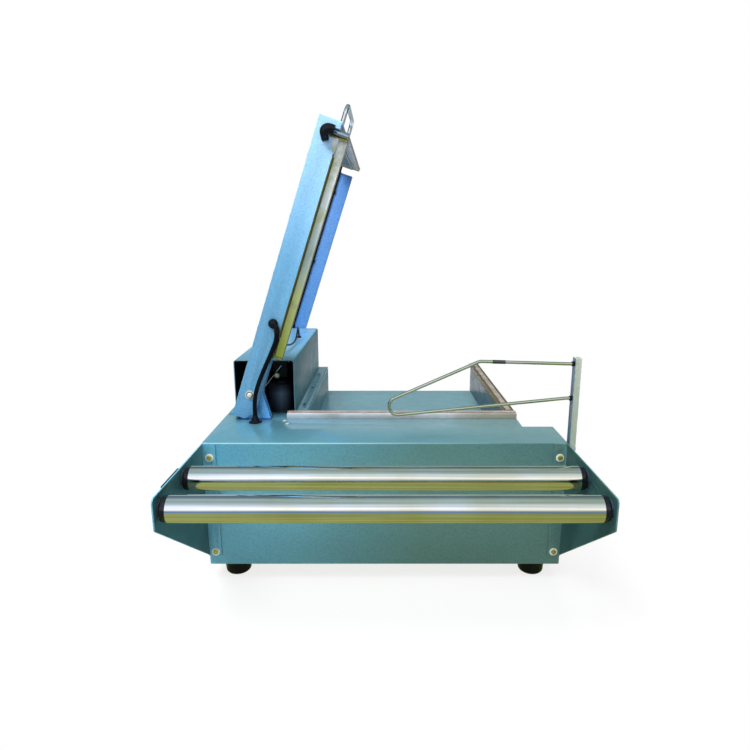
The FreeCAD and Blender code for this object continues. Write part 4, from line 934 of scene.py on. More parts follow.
@dataclass
class Fastener:
    """One screw head with a washer, drawn round +z in millimetres."""

    radius: float
    height: float
    recess: Recess = Recess.CROSS
    washer: float = 0.0

    def relief(self, x: np.ndarray, y: np.ndarray, z: np.ndarray) -> np.ndarray:
        """Return the drive's depth: two crossed bars or a disc, cut only in the head's top.

        Args:
            x: places across the head.
            y: places along it.
            z: heights over its seat.

        Returns:
            The depth at each place, in millimetres as the places are.
        """
        arm = self.radius * 0.13
        reach = self.radius * 0.52
        soft = self.radius * 0.08
        if self.recess is Recess.CROSS:
            limits = ((arm, x), (arm, y), (reach, x), (reach, y))
            thin_x, thin_y, long_x, long_y = (np.clip((limit - abs(way)) / soft + 0.5, 0, 1)
                                              for limit, way in limits)
            mask = np.maximum(thin_y * long_x, thin_x * long_y)
        elif self.recess is Recess.SOCKET:
            mask = np.clip((self.radius * 0.42 - np.hypot(x, y)) / soft + 0.5, 0, 1)
        else:
            mask = np.zeros_like(x)
        return mask * (z > self.height * 0.5) * self.height * 0.5

    def surface(self, place: np.ndarray, axis: Sequence, spin: float) -> Surface:
        """Return the head's surface: a dome z = h (1 - 0.3 (r / R) squared) over a rolled rim.

        Args:
            place: the middle of the seat, in metres.
            axis: the direction out of the surface.
            spin: how far the drive is turned, in degrees.

        Returns:
            The vertices and faces.
        """
        inner = np.linspace(0, 0.88, 12)
        dome = [(self.radius * share, self.height * (1 - 0.30 * share ** 2)) for share in inner]
        rim = [(self.radius * 0.97, self.height * 0.60), (self.radius, self.height * 0.42),
               (self.radius, 0.0), (0.0, 0.0)]
        points, faces = Sheet.turned(dome + rim, 40, self.relief)
        return Sheet.turn_to(points, place, axis, spin), faces

    def washer_surface(self, place: np.ndarray, axis: Sequence, thickness: float) -> Surface:
        """Return the washer's surface as a flat ring with broken edges, drawn solid.

        Args:
            place: the middle of its seat, in metres.
            axis: the direction out of the surface.
            thickness: in millimetres.

        Returns:
            The vertices and faces.
        """
        edge = thickness * 0.3
        profile = [(0.0, thickness), (self.washer - edge, thickness), (self.washer, thickness - edge),
                   (self.washer, 0.0), (0.0, 0.0)]
        points, faces = Sheet.turned(profile, 40)
        return Sheet.turn_to(points, place, axis), faces

    def seated(self, place: np.ndarray, axis: Sequence, spin: float,
               thickness: float) -> tuple[Surface, Surface]:
        """Return the head and the washer under it.

        Args:
            place: the middle of the washer's seat, in metres.
            axis: the direction out of the surface.
            spin: how far the drive is turned, in degrees.
            thickness: the washer's, in millimetres.

        Returns:
            The head's surface and the washer's.
        """
        lifted = place + np.array(axis, float) * (thickness * MILLIMETRE)
        return self.surface(lifted, axis, spin), self.washer_surface(place, axis, thickness)


@dataclass
class SubAssembly:
    """What every sub-assembly shares: the frame and the machine's datum."""

    frame: dict
    bench: Bench

    def shell(self, node: str, finish: Finish, body: str, width: float, steps: int = 2) -> bpy.types.Object:
        """Stand a softened copy in for a node and dress it.

        Args:
            node: the node's name.
            finish: its finish.
            body: the body it rides on.
            width: the edge rounding in millimetres.
            steps: the rounding's segments.

        Returns:
            The piece.
        """
        # A paint's paler rim finish goes on the roundings: a painted highlight along the edges.
        rim = finish.rim()
        thing = Sheet.softened(self.frame, node, width, steps, rim is not None)
        finish.dress(thing)
        if rim is not None:
            thing.data.materials.append(rim.material())
        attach(thing, body)
        LOG.info("%s stands for %s", thing.name, node)
        return thing

    def face(self, thing: bpy.types.Object, finish: Finish, test: Callable) -> None:
        """Give a finish to the faces of a piece that a test picks.

        Args:
            thing: the piece.
            finish: the finish of those faces.
            test: a function of the faces' centres and normals, n by 3 arrays, that gives n truth values.
        """
        mesh = thing.data
        centres, normals = np.empty((2, len(mesh.polygons) * 3))
        slots = np.empty(len(mesh.polygons), np.int32)
        mesh.polygons.foreach_get("center", centres)
        mesh.polygons.foreach_get("normal", normals)
        mesh.polygons.foreach_get("material_index", slots)
        mesh.materials.append(finish.material())
        slots[test(centres.reshape(-1, 3), normals.reshape(-1, 3))] = len(mesh.materials) - 1
        mesh.polygons.foreach_set("material_index", slots)

    def dress_nodes(self, finish: Finish, *nodes: str) -> None:
        """Keep the nodes' own meshes and give them a finish.

        Args:
            finish: the finish.
            *nodes: the nodes' names.
        """
        for node in nodes:
            thing = self.frame["nodes"][node]
            if thing.material_slots:
                for slot in thing.material_slots:
                    slot.material = finish.material()
            else:
                thing.data.materials.append(finish.material())
            LOG.info("%s dressed", node)

    def add(self, name: str, parts: Sequence, finish: Finish, body: str,
            stands_for: Sequence[str] = ()) -> None:
        """Join surfaces into one piece, dress it and let it ride on a body.

        Args:
            name: the piece's name.
            parts: pairs of vertices and faces.
            finish: its finish.
            body: the body it rides on.
            stands_for: the nodes it replaces.
        """
        vertices, faces = Sheet.join(parts)
        thing = Sheet.piece(name, vertices, faces)
        finish.dress(thing)
        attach(thing, body)
        if stands_for:
            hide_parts(*stands_for)
        LOG.info("%s made with %d faces", name, len(faces))


@dataclass
class Casing(SubAssembly):
    """The base casing, its tray, hood and feet.

    In millimetres, fold rounds the casing's folds, the next two lengths are how far from the deck's
    near edge a painted highlight runs along the fold, on the front and on the deck, and flange is how
    high over the deck the hood's feet reach. inwards is the least distance in metres by which a hood
    face looks past the hood's middle line.
    """

    fold: float = 1.2
    thin_front: float = 1.4
    thin_deck: float = 3.0
    flange: float = 6.0
    inwards: float = 0.004

    def build(self) -> None:
        """Dress the sheet parts and the feet."""
        near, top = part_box("base_casing")[0].y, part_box("base_casing")[1].z
        # Both paints get a pale painted highlight along the deck's near fold.
        front = replace(CASING_PAINT, fold_from=top - self.thin_front * MILLIMETRE)
        deck = replace(DECK_TOP, fold_way=FRONT, fold_from=-near - self.thin_deck * MILLIMETRE)
        casing = self.shell("base_casing", front, "base", width=self.fold, steps=3)
        # The deck's top and the front are one enamel in two tones: painted light and shade.
        self.face(casing, deck, facing(2, least=0.97))
        # The roundings of the folds slope, and take the paler rim finish: a painted highlight.
        self.face(casing, front.rim(),
                  lambda centres, normals: (normals[:, 2] > 0.2) & (normals[:, 2] < 0.95))
        tray = self.shell("product_tray", DECK_PAINT, "base", width=0.6)
        self.face(tray, SHADED_HOOD, facing(0))
        self.face(tray, SHADED_TRAY, facing(0, -1.0))
        low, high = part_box("hood_cover")
        middle = (np.array(low) + np.array(high)) / 2
        middle[2] = low.z
        for node in ("hood_cover", "hood_end_plate"):
            sheet = self.shell(node, HOOD_PAINT, "base", width=0.6)
            self.face(sheet, SHADED_HOOD, facing(0))
            self.face(sheet, DECK_PAINT, lambda centres, normals: (
                (normals[:, 2] > 0.7) & (centres[:, 2] < top + self.flange * MILLIMETRE)))
            # The hood's inner faces are near black: painted shade inside the hood.
            self.face(sheet, INNER_SHADE,
                      lambda centres, normals: ((middle - centres) * normals).sum(1) > self.inwards)
        self.dress_nodes(ZINC, "bottom_plate", "foot_screws")
        self.dress_nodes(BLACK_RUBBER, "rubber_feet")


@dataclass
class Rollers(SubAssembly):
    """The two film rollers, their brackets, axles and the screws that hold them.

    Lengths are in millimetres. Each row of screws has its height and the turn of its drives in
    degrees, and inset is how far the flange screws stand in from the casing's sides.
    """

    flange: float = 2.0
    inset: float = 12.5
    washer: float = 0.9
    flange_rows: tuple = ((226.0, 20.0), (50.0, 55.0))
    post_rows: tuple = ((239.0, 10.0), (150.0, 70.0))

    def build(self) -> None:
        """Dress the rollers and brackets and draw the screws."""
        # The brackets take the casing's front enamel, lighter than its deck tone as painted light, with a
        # dimmer painted highlight on their edge roundings; their inner sides take the shaded enamel.
        paint = replace(CASING_PAINT, name="bracket_enamel", edge=1.25)
        for side, inwards in (("left", 1.0), ("right", -1.0)):
            bracket = self.shell(side + "_roller_bracket", paint, "base", width=0.8, steps=3)
            self.face(bracket, SHADED_CASING, facing(0, inwards))
        self.dress_nodes(CHROME, "rear_roller_tube", "front_roller_tube")
        plugs = replace(BLACK_PLASTIC, name="plug_plastic", rough=0.12, sheen=0.35)
        self.dress_nodes(plugs, "rear_roller_plugs", "front_roller_plugs")
        self.dress_nodes(BLACK_ENAMEL, "roller_axles")
        self.shell("bracket_pad", BLACK_RUBBER, "base", width=0.8)
        self.screws()

    def screws(self) -> None:
        """Draw the flange screws with their washers and the post's screws."""
        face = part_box("left_roller_bracket")[1].y - self.flange * MILLIMETRE
        screw = Fastener(radius=4.4, height=2.6, recess=Recess.SOCKET, washer=7.0)
        left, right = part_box("base_casing")
        pairs = [screw.seated(np.array([x, face, self.bench.at((0, 0, z))[2]]), FRONT, spin, self.washer)
                 for x in (left.x + self.inset * MILLIMETRE, right.x - self.inset * MILLIMETRE)
                 for z, spin in self.flange_rows]
        heads = [head for head, _ in pairs]
        low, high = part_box("opener_post")
        big = Fastener(radius=5.0, height=2.6)
        for z, spin in self.post_rows:
            place = np.array([high.x, (low.y + high.y) / 2, self.bench.at((0, 0, z))[2]])
            heads.append(big.surface(place, RIGHT, spin))
        self.add("flange_screw_heads", heads, YELLOW_ZINC, "base", ["roller_box_screws"])
        self.add("flange_screw_washers", [washer for _, washer in pairs], BRIGHT_PLATE, "base")


@dataclass
class SealingBase(SubAssembly):
    """The aluminium sealing base with its rubber inserts, and the screws round it.

    Places are in millimetres: x and y of the screws in the deck, and the columns, first row and
    pitch of the hood's flange screws. deck_turns and turn are how far the drives are turned, in
    degrees, and for the flange screws that is once more in each row.
    """

    deck_places: tuple = ((120.0, 122.0), (128.0, 103.0))
    deck_turns: tuple = (120.0, 128.0)
    deck: float = 251.0
    columns: tuple = (10.0, 143.5)
    first_row: float = 228.5
    pitch: float = 135.0
    rows: int = 3
    flange: float = 252.5
    turn: float = 37.0

    def build(self) -> None:
        """Dress both lengths and their inserts."""
        self.shell("near_seal_base", ALUMINIUM, "base", width=0.35)
        self.shell("side_seal_base", SIDE_ALUMINIUM, "base", width=0.35)
        self.dress_nodes(SILICONE, "near_seal_insert", "side_seal_insert")
        self.screws()

    def screws(self) -> None:
        """Draw the hood's flange screws and the two beside the sealing base."""
        small = Fastener(radius=3.4, height=1.7)
        heads = [small.surface(self.bench.at((x, self.first_row + self.pitch * row, self.flange)), UP,
                               self.turn * row)
                 for x in self.columns for row in range(self.rows)]
        bright = [small.surface(self.bench.at((x, y, self.deck)), UP, spin)
                  for (x, y), spin in zip(self.deck_places, self.deck_turns)]
        self.add("hood_screw_heads", heads, DARK_STEEL, "base", ["deck_screws"])
        self.add("deck_screw_heads", bright, WORN_PLATE, "base")


@dataclass
class Lid(SubAssembly):
    """The hinged lid: arms, bars, clamp, handle and the pivot it turns on.

    drift, reach and stain are metres along the arm from the pivot: where the paint's tone starts
    and ends its drift, and where the bar's stain does. In millimetres, the bar is oily down to
    oiled_to below the pivot's axis, its faces towards the near side beyond the y of behind are
    painted lit, brighter than the rest of it, seat is how far inside an end screw's box its washer
    seats, and washer and ring are the thicknesses under its head.
    """

    drift: float = 0.26
    reach: float = 0.5
    stain: tuple = (0.08, 0.49)
    oiled_to: float = 22.6
    behind: float = 135.0
    seat: float = 5.2
    washer: float = 1.2
    ring: float = 0.6

    def build(self) -> None:
        """Dress the arms and bars and draw the smaller parts."""
        along = tuple(self.bench.along)
        start = float(np.dot(self.bench.pivot, self.bench.along))
        paint = HammeredPaint("lid_enamel", near_colour=(0.15, 0.40, 0.65), far_colour=(0.37, 0.66, 0.97),
                              drift=along, start=start + self.drift, end=start + self.reach,
                              mottle=0.75, depth=0.0003)
        # The far arm takes a darker copy of the lid enamel: painted shade.
        inner = replace(paint, name="shaded_far_arm_enamel", near_colour=(0.10, 0.29, 0.62),
                        far_colour=(0.10, 0.27, 0.68), start=start, mottle=1.3)
        below = self.bench.below
        seam = float(np.dot(self.bench.on_lid(0.0, 0.0, self.oiled_to), below))
        low, high = self.stain
        stain = StainedBar("lit_bar_stain", along, start + low, start + high, tuple(below), seam)
        self.shell("near_arm", paint, "lid", width=0.7, steps=3)
        front = self.shell("front_arm", paint, "lid", width=0.7, steps=3)
        self.face(front, SHADED_LID, lambda centres, normals: normals @ self.bench.along < -0.7)
        self.shell("far_arm", inner, "lid", width=0.7, steps=3)
        # The near bar is a darker copy of the stain, painted shade, and its faces to the near side past
        # behind a brighter copy, painted light; the front bar is darker still, painted shade.
        near = self.shell("near_seal_bar", replace(stain, name="near_bar_shade", gain=0.8), "lid", width=0.4)
        behind = self.bench.at((0.0, self.behind, 0.0))[1]
        self.face(near, replace(stain, gain=1.5),
                  lambda centres, normals: (normals[:, 1] < -0.3) & (centres[:, 1] > behind))
        self.shell("front_seal_bar", replace(stain, name="shaded_bar", gain=0.5), "lid", width=0.4)
        self.dress_nodes(BOARD, "near_insulator", "front_insulator", "corner_separator")
        self.dress_nodes(WIRE_STEEL, "sealing_wire")
        self.dress_nodes(YELLOW_ZINC, "wire_end_clamps")
        self.shell("corner_clamp", CLAMP_STEEL, "lid", width=0.6)
        self.dress_nodes(HANDLE_CHROME, "lid_handle")
        self.dress_nodes(ZINC, "handle_fixings", "bar_studs")
        self.elbow()
        self.dress_nodes(SHEATH, "far_arm_lead")
        self.pivot()

    def elbow(self) -> None:
        """Draw the fat rubber elbow that leads the heating cables into the corner clamp.

        Its middle line is the parabola a (1 - s) squared + 2 b s (1 - s) + c s squared between three
        points of the lid. Its radius swells over the bend as half a sine and closes at the outer end.
        """
        share = np.linspace(0, 1, 26)[:, None]
        corners = ((498.8, 117.0, 13.0), (498.4, 117.0, -12.6), (476.5, 117.0, 3.6))
        start, bend, end = (self.bench.on_lid(*point) for point in corners)
        path = start * (1 - share) ** 2 + bend * 2 * share * (1 - share) + end * share ** 2
        slim, swell, closing = 6.8, 2.4, (0.97, 0.80)
        radius = (slim + swell * np.sin(np.clip(share[:, 0] * 1.15, 0, 1) * math.pi)) * MILLIMETRE
        radius[-2:] *= np.array(closing)
        self.add("corner_elbow", [Sheet.swept(path, radius, 36)], GLOSSY_RUBBER, "lid", ["upper_boot"])

    def pivot(self) -> None:
        """Dress the pivot's brackets and draw its end screws."""
        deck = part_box("near_pivot_bracket")[0].z
        # The paint darkens over the brackets' lowest 1 to 4 mm: painted shadow at their foot.
        paint = replace(BLUE_PAINT, start=deck + 0.001, end=deck + 0.004)
        self.shell("near_pivot_bracket", paint, "base", width=0.5)
        self.shell("far_pivot_bracket", paint, "base", width=0.5)
        self.dress_nodes(BRONZE, "pivot_bushes")
        self.dress_nodes(ZINC, "pivot_bracket_bolts")
        self.dress_nodes(STEEL, "pivot_shaft")
        head = Fastener(radius=4.6, height=3.6, recess=Recess.NONE, washer=8.6)
        ring = Fastener(radius=4.6, height=1.0, recess=Recess.NONE, washer=6.2)
        low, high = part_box("pivot_screws")
        depth = self.seat * MILLIMETRE
        heads, washers, rings = [], [], []
        for y, outward in ((low.y + depth, -1.0), (high.y - depth, 1.0)):
            place = np.array([self.bench.pivot[0], y, self.bench.pivot[2]])
            axis = (0, outward, 0)
            step = np.array([0, outward * MILLIMETRE, 0])
            washers.append(head.washer_surface(place, axis, self.washer))
            rings.append(ring.washer_surface(place + step * self.washer, axis, self.ring))
            heads.append(head.surface(place + step * (self.washer + self.ring), axis, 30.0))
        self.add("pivot_screw_heads", heads, BRIGHT_PLATE, "lid", ["pivot_screws"])
        self.add("pivot_screw_washers", washers, WORN_PLATE, "lid")
        self.add("pivot_screw_rings", rings, DARK_STEEL, "lid")


@dataclass
class Cables(SubAssembly):
    """The black cable to the near arm and the thin lead over the hood, each one smooth line.

    Diameters and places are in millimetres and lengths in metres. Moulded parts stand at boot on
    the deck, at grommet on the hood and at gland behind the near arm, and sleeve is how much
    the moulded sleeve swells the cable's radius.
    """

    cable_diameter: float = 7.0
    lead_diameter: float = 4.0
    cable_length: float = 0.173
    lead_length: float = 0.279
    sleeve: float = 0.42
    boot: Way = (66.0, 114.0, 251.0)
    grommet: Way = (106.0, 425.0, 360.0)
    gland: Way = (98.0, 152.0, 391.0)

    def line(self, name: str, route: Sequence) -> np.ndarray:
        """Return points of a smooth spline whose control points are a route in millimetres.

        Args:
            name: the spline's name.
            route: its control points.

        Returns:
            An n by 3 array of places in metres.
        """
        curve = bpy.data.curves.new(name, "CURVE")
        curve.dimensions = "3D"
        curve.resolution_u = 12
        spline = curve.splines.new("NURBS")
        places = self.bench.at(route)
        spline.points.add(len(places) - 1)
        for point, place in zip(spline.points, places):
            point.co = (*place, 1.0)
        spline.order_u = 3
        spline.use_endpoint_u = True
        return Sheet.from_curve(curve)[0]

    def lay(self, name: str, node: str, route: Sequence, diameter: float, length: float,
            relief: float) -> None:
        """Lay one cord along its route.

        A sleeve swells it by the least share of relief up to sleeve_from along the cord, and from
        there by the 1.5 power of the share up to sleeve_to, where it is all of relief.

        Args:
            name: the piece's name.
            node: the node it stands for.
            route: control points in millimetres, as in the construction.
            diameter: in millimetres.
            length: its real length in metres; not used.
            relief: how far a moulded sleeve swells it at its upper end, as a share of its radius.
        """
        path = self.line(name + "_line", route)
        share = np.linspace(0, 1, len(path))
        least, sleeve_from, sleeve_to = 0.35, 0.40, 0.85
        rise = np.clip((share - sleeve_from) / (sleeve_to - sleeve_from), 0, 1) ** 1.5
        swell = 1.0 + relief * (least + (1 - least) * rise)
        vertices, faces = Sheet.swept(path, diameter / 2 * MILLIMETRE * swell, 24)
        thing = Sheet.piece(name, vertices, faces, 60.0)
        SHEATH.dress(thing)
        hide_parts(node)
        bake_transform(thing)
        LOG.info("%s laid for %s", name, node)

    def build(self) -> None:
        """Lay both cords and draw the mouldings at their ends."""
        cable = [(66.0, 114.0, 265.0), (65.2, 115.2, 287.0), (70.0, 118.5, 315.0), (84.0, 119.5, 348.5),
                 (101.0, 119.5, 383.0), (114.0, 119.5, 411.0), (111.9, 120.3, 428.4)]
        lead = [(106.0, 425.0, 364.0), (106.0, 425.0, 376.0), (106.3, 416.0, 385.0), (107.5, 401.0, 386.5),
                (110.0, 373.0, 378.0), (112.0, 334.0, 368.0), (109.0, 290.0, 367.0), (104.0, 246.0, 375.0),
                (99.5, 206.0, 388.0), (98.0, 166.0, 391.0)]
        self.lay("arm_cable", "lid_cable", cable, self.cable_diameter, self.cable_length, self.sleeve)
        self.lay("hood_wire", "hood_lead", lead, self.lead_diameter, self.lead_length, 0.0)
        self.boots()
        self.reliefs()

    def boots(self) -> None:
        """Draw the moulded boot on the deck and the grommet on the hood.

        The boot's radius is its skirt's less a fall times the 0.42 power of the share of its height.
        """
        skirt, fall, lip, height = 12.5, 8.4, 0.8, 14.0
        profile = [(0.0, 0.0), (skirt, 0.0)]
        share = np.linspace(0, 1, 14)
        profile += [(skirt - fall * step ** 0.42, lip + (height - lip) * step) for step in share]
        profile.append((0.0, height))
        points, faces = Sheet.turned(profile, 36)
        ring = [(0.0, 0.0), (5.5, 0.0), (5.5, 2.6), (4.6, 4.0), (0.0, 4.0)]
        grommet, ring_faces = Sheet.turned(ring, 28)
        parts = [(Sheet.turn_to(points, self.bench.at(self.boot), UP), faces),
                 (Sheet.turn_to(grommet, self.bench.at(self.grommet), UP), ring_faces)]
        self.add("cable_boots", parts, BLACK_RUBBER, "base", ["deck_glands"])

    def reliefs(self) -> None:
        """Draw the ball relief with its spout on the near arm, and the lead's gland nut behind it.

        The ball is the ellipsoid r = 9.2 root (1 - h squared), z = 8 h.
        """
        ball = self.bench.on_lid(145.3, 121.5, 4.8)
        share = np.linspace(-1, 1, 25)
        profile = [(9.2 * math.sqrt(max(0.0, 1 - height ** 2)), 8.0 * height) for height in share]
        dome, dome_faces = Sheet.turned(profile, 40)
        neck = self.bench.at([(106.8, 117.5, 433.5), (110.6, 118.6, 432.0), (112.4, 119.6, 427.0),
                              (113.2, 119.8, 420.0)])
        width = np.array([5.6, 5.6, 5.4, 5.0]) * MILLIMETRE
        tube, tube_faces = Sheet.swept(neck, width, 28)
        nut = [(0.0, 0.0), (5.2, 0.0), (5.2, 5.0), (4.2, 6.0), (4.2, 12.6), (3.2, 13.6), (0.0, 13.6)]
        gland, gland_faces = Sheet.turned(nut, 24)
        parts = [(Sheet.turn_to(dome, ball, FRONT), dome_faces), (tube, tube_faces),
                 (Sheet.turn_to(gland, self.bench.at(self.gland), BACK), gland_faces)]
        self.add("arm_reliefs", parts, GLOSSY_RUBBER, "lid", ["arm_glands"])


@dataclass
class Opener(SubAssembly):
    """The post, its bushes and the bent wire that opens the film."""

    def build(self) -> None:
        """Dress the post, wire, sleeve and bushes."""
        post = self.shell("opener_post", POST_PAINT, "base", width=0.8)
        self.face(post, SHADED_POST, facing(0, -1.0))
        self.dress_nodes(ROD_CHROME, "film_opener")
        self.dress_nodes(DARK_STEEL, "opener_sleeve")
        self.dress_nodes(BLACK_PLASTIC, "post_bushes")


@dataclass
class Works(SubAssembly):
    """The works under the hood: springs, collars, anchors and transformer.

    The bolts stand at x and z of bolt_line in the planes y of bolt_rows, in millimetres.
    """

    bolt_line: tuple = (95.0, 323.0)
    bolt_rows: tuple = (192.0, 492.0)
    washer: float = 0.8

    def build(self) -> None:
        """Dress the works under the hood."""
        self.dress_nodes(STEEL, "lift_springs", "spring_collars")
        # The spring anchors inside the hood are near black: painted shade.
        self.shell("spring_anchors", INNER_SHADE, "base", width=0.4)
        # The can's enamel paints a highlight down its front and shade at its sides and rim.
        foot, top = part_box("transformer")
        enamel = CanEnamel("lit_can_enamel", middle=(foot.x + top.x) / 2, foot=foot.z, top=top.z)
        self.shell("transformer", enamel, "base", width=0.6)
        self.bolts()

    def bolts(self) -> None:
        """Draw the bright heads of the two bolts that stop the springs' legs."""
        bolt = Fastener(radius=3.8, height=2.4, recess=Recess.NONE, washer=5.4)
        x, z = self.bolt_line
        heads, washers = zip(*(bolt.seated(self.bench.at((x, y, z)), FRONT, 0.0, self.washer)
                               for y in self.bolt_rows))
        self.add("anchor_bolt_heads", heads, BRIGHT_PLATE, "base")
        self.add("anchor_bolt_washers", washers, YELLOW_ZINC, "base")


@dataclass
class Panel(SubAssembly):
    """The operator's controls on the side of the casing and the mains inlet.

    The scale's first tick stands at first and each next one stride degrees further round. The
    print is in millimetres: gap is its space round the knob, tick, long_tick and line size its
    ticks, out is how far past the ticks' inner ends the numbers stand, film is how thick a tick
    is, and number and mark are the heights of the figures.
    """

    first: float = 225.0
    stride: float = 27.0
    ticks: int = 11
    gap: float = 3.0
    tick: float = 2.6
    long_tick: float = 4.0
    line: float = 0.9
    film: float = 0.15
    out: float = 8.0
    number: float = 4.6
    mark: float = 5.0

    def build(self) -> None:
        """Dress the controls and print the timer's scale."""
        for node, body in (("switch_frame", "base"), ("switch_rocker", "rocker"), ("timer_knob", "knob"),
                           ("mains_inlet", "base")):
            self.shell(node, BLACK_PLASTIC, body, width=0.4)
        self.dress_nodes(Lens("lamp_lens"), "pilot_lamp")
        self.scale()

    def scale(self) -> None:
        """Print the timer's ticks and numbers round its knob, and the rocker's off and on marks."""
        low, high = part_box("timer_knob")
        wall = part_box("base_casing")[1].x
        middle = np.array([wall, (low.y + high.y) / 2, (low.z + high.z) / 2])
        radius = (high.z - low.z) / 2 + self.gap * MILLIMETRE
        sides = [[3, 2, 1, 0], [4, 5, 6, 7]] + [[k, (k + 1) % 4, (k + 1) % 4 + 4, k + 4] for k in range(4)]
        parts = []
        for step in range(self.ticks):
            angle = math.radians(self.first - self.stride * step)
            out = np.array([0.0, math.cos(angle), math.sin(angle)])
            side = np.array([0.0, -out[2], out[1]])
            reach = (self.long_tick if step % 5 == 0 else self.tick) * MILLIMETRE
            wide = self.line / 2 * MILLIMETRE
            flat = [middle + out * at + side * wide * sign for at, sign in
                    ((radius, -1), (radius + reach, -1), (radius + reach, 1), (radius, 1))]
            thick = np.array([self.film * MILLIMETRE, 0.0, 0.0])
            parts.append((np.array(flat + [point + thick for point in flat]), sides))
            if step % 2 == 0:
                place = middle + out * (radius + self.out * MILLIMETRE)
                parts.append(self.figure(str(step), place, self.number))
        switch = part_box("switch_frame")
        level = (switch[0].z + switch[1].z) / 2
        beside = 6.0 * MILLIMETRE
        for letter, y in (("O", switch[0].y - beside), ("I", switch[1].y + beside)):
            parts.append(self.figure(letter, np.array([wall, y, level]), self.mark))
        self.add("panel_print", parts, PRINT, "base")

    @staticmethod
    def figure(words: str, place: np.ndarray, size: float) -> Surface:
        """Return a number's surface, a hair thick, upright on the casing's operator side.

        Args:
            words: what it reads.
            place: its middle, in metres.
            size: its height in millimetres.

        Returns:
            The vertices and faces.
        """
        curve = bpy.data.curves.new("figure", "FONT")
        curve.body = words
        hair = 0.08 * MILLIMETRE
        curve.size = size * MILLIMETRE * 1.4
        curve.extrude = hair
        curve.resolution_u = 4
        points, faces = Sheet.from_curve(curve)
        points -= (points.min(0) + points.max(0)) / 2
        return np.stack([points[:, 2] + hair, points[:, 0], points[:, 1]], axis=1) + place, faces


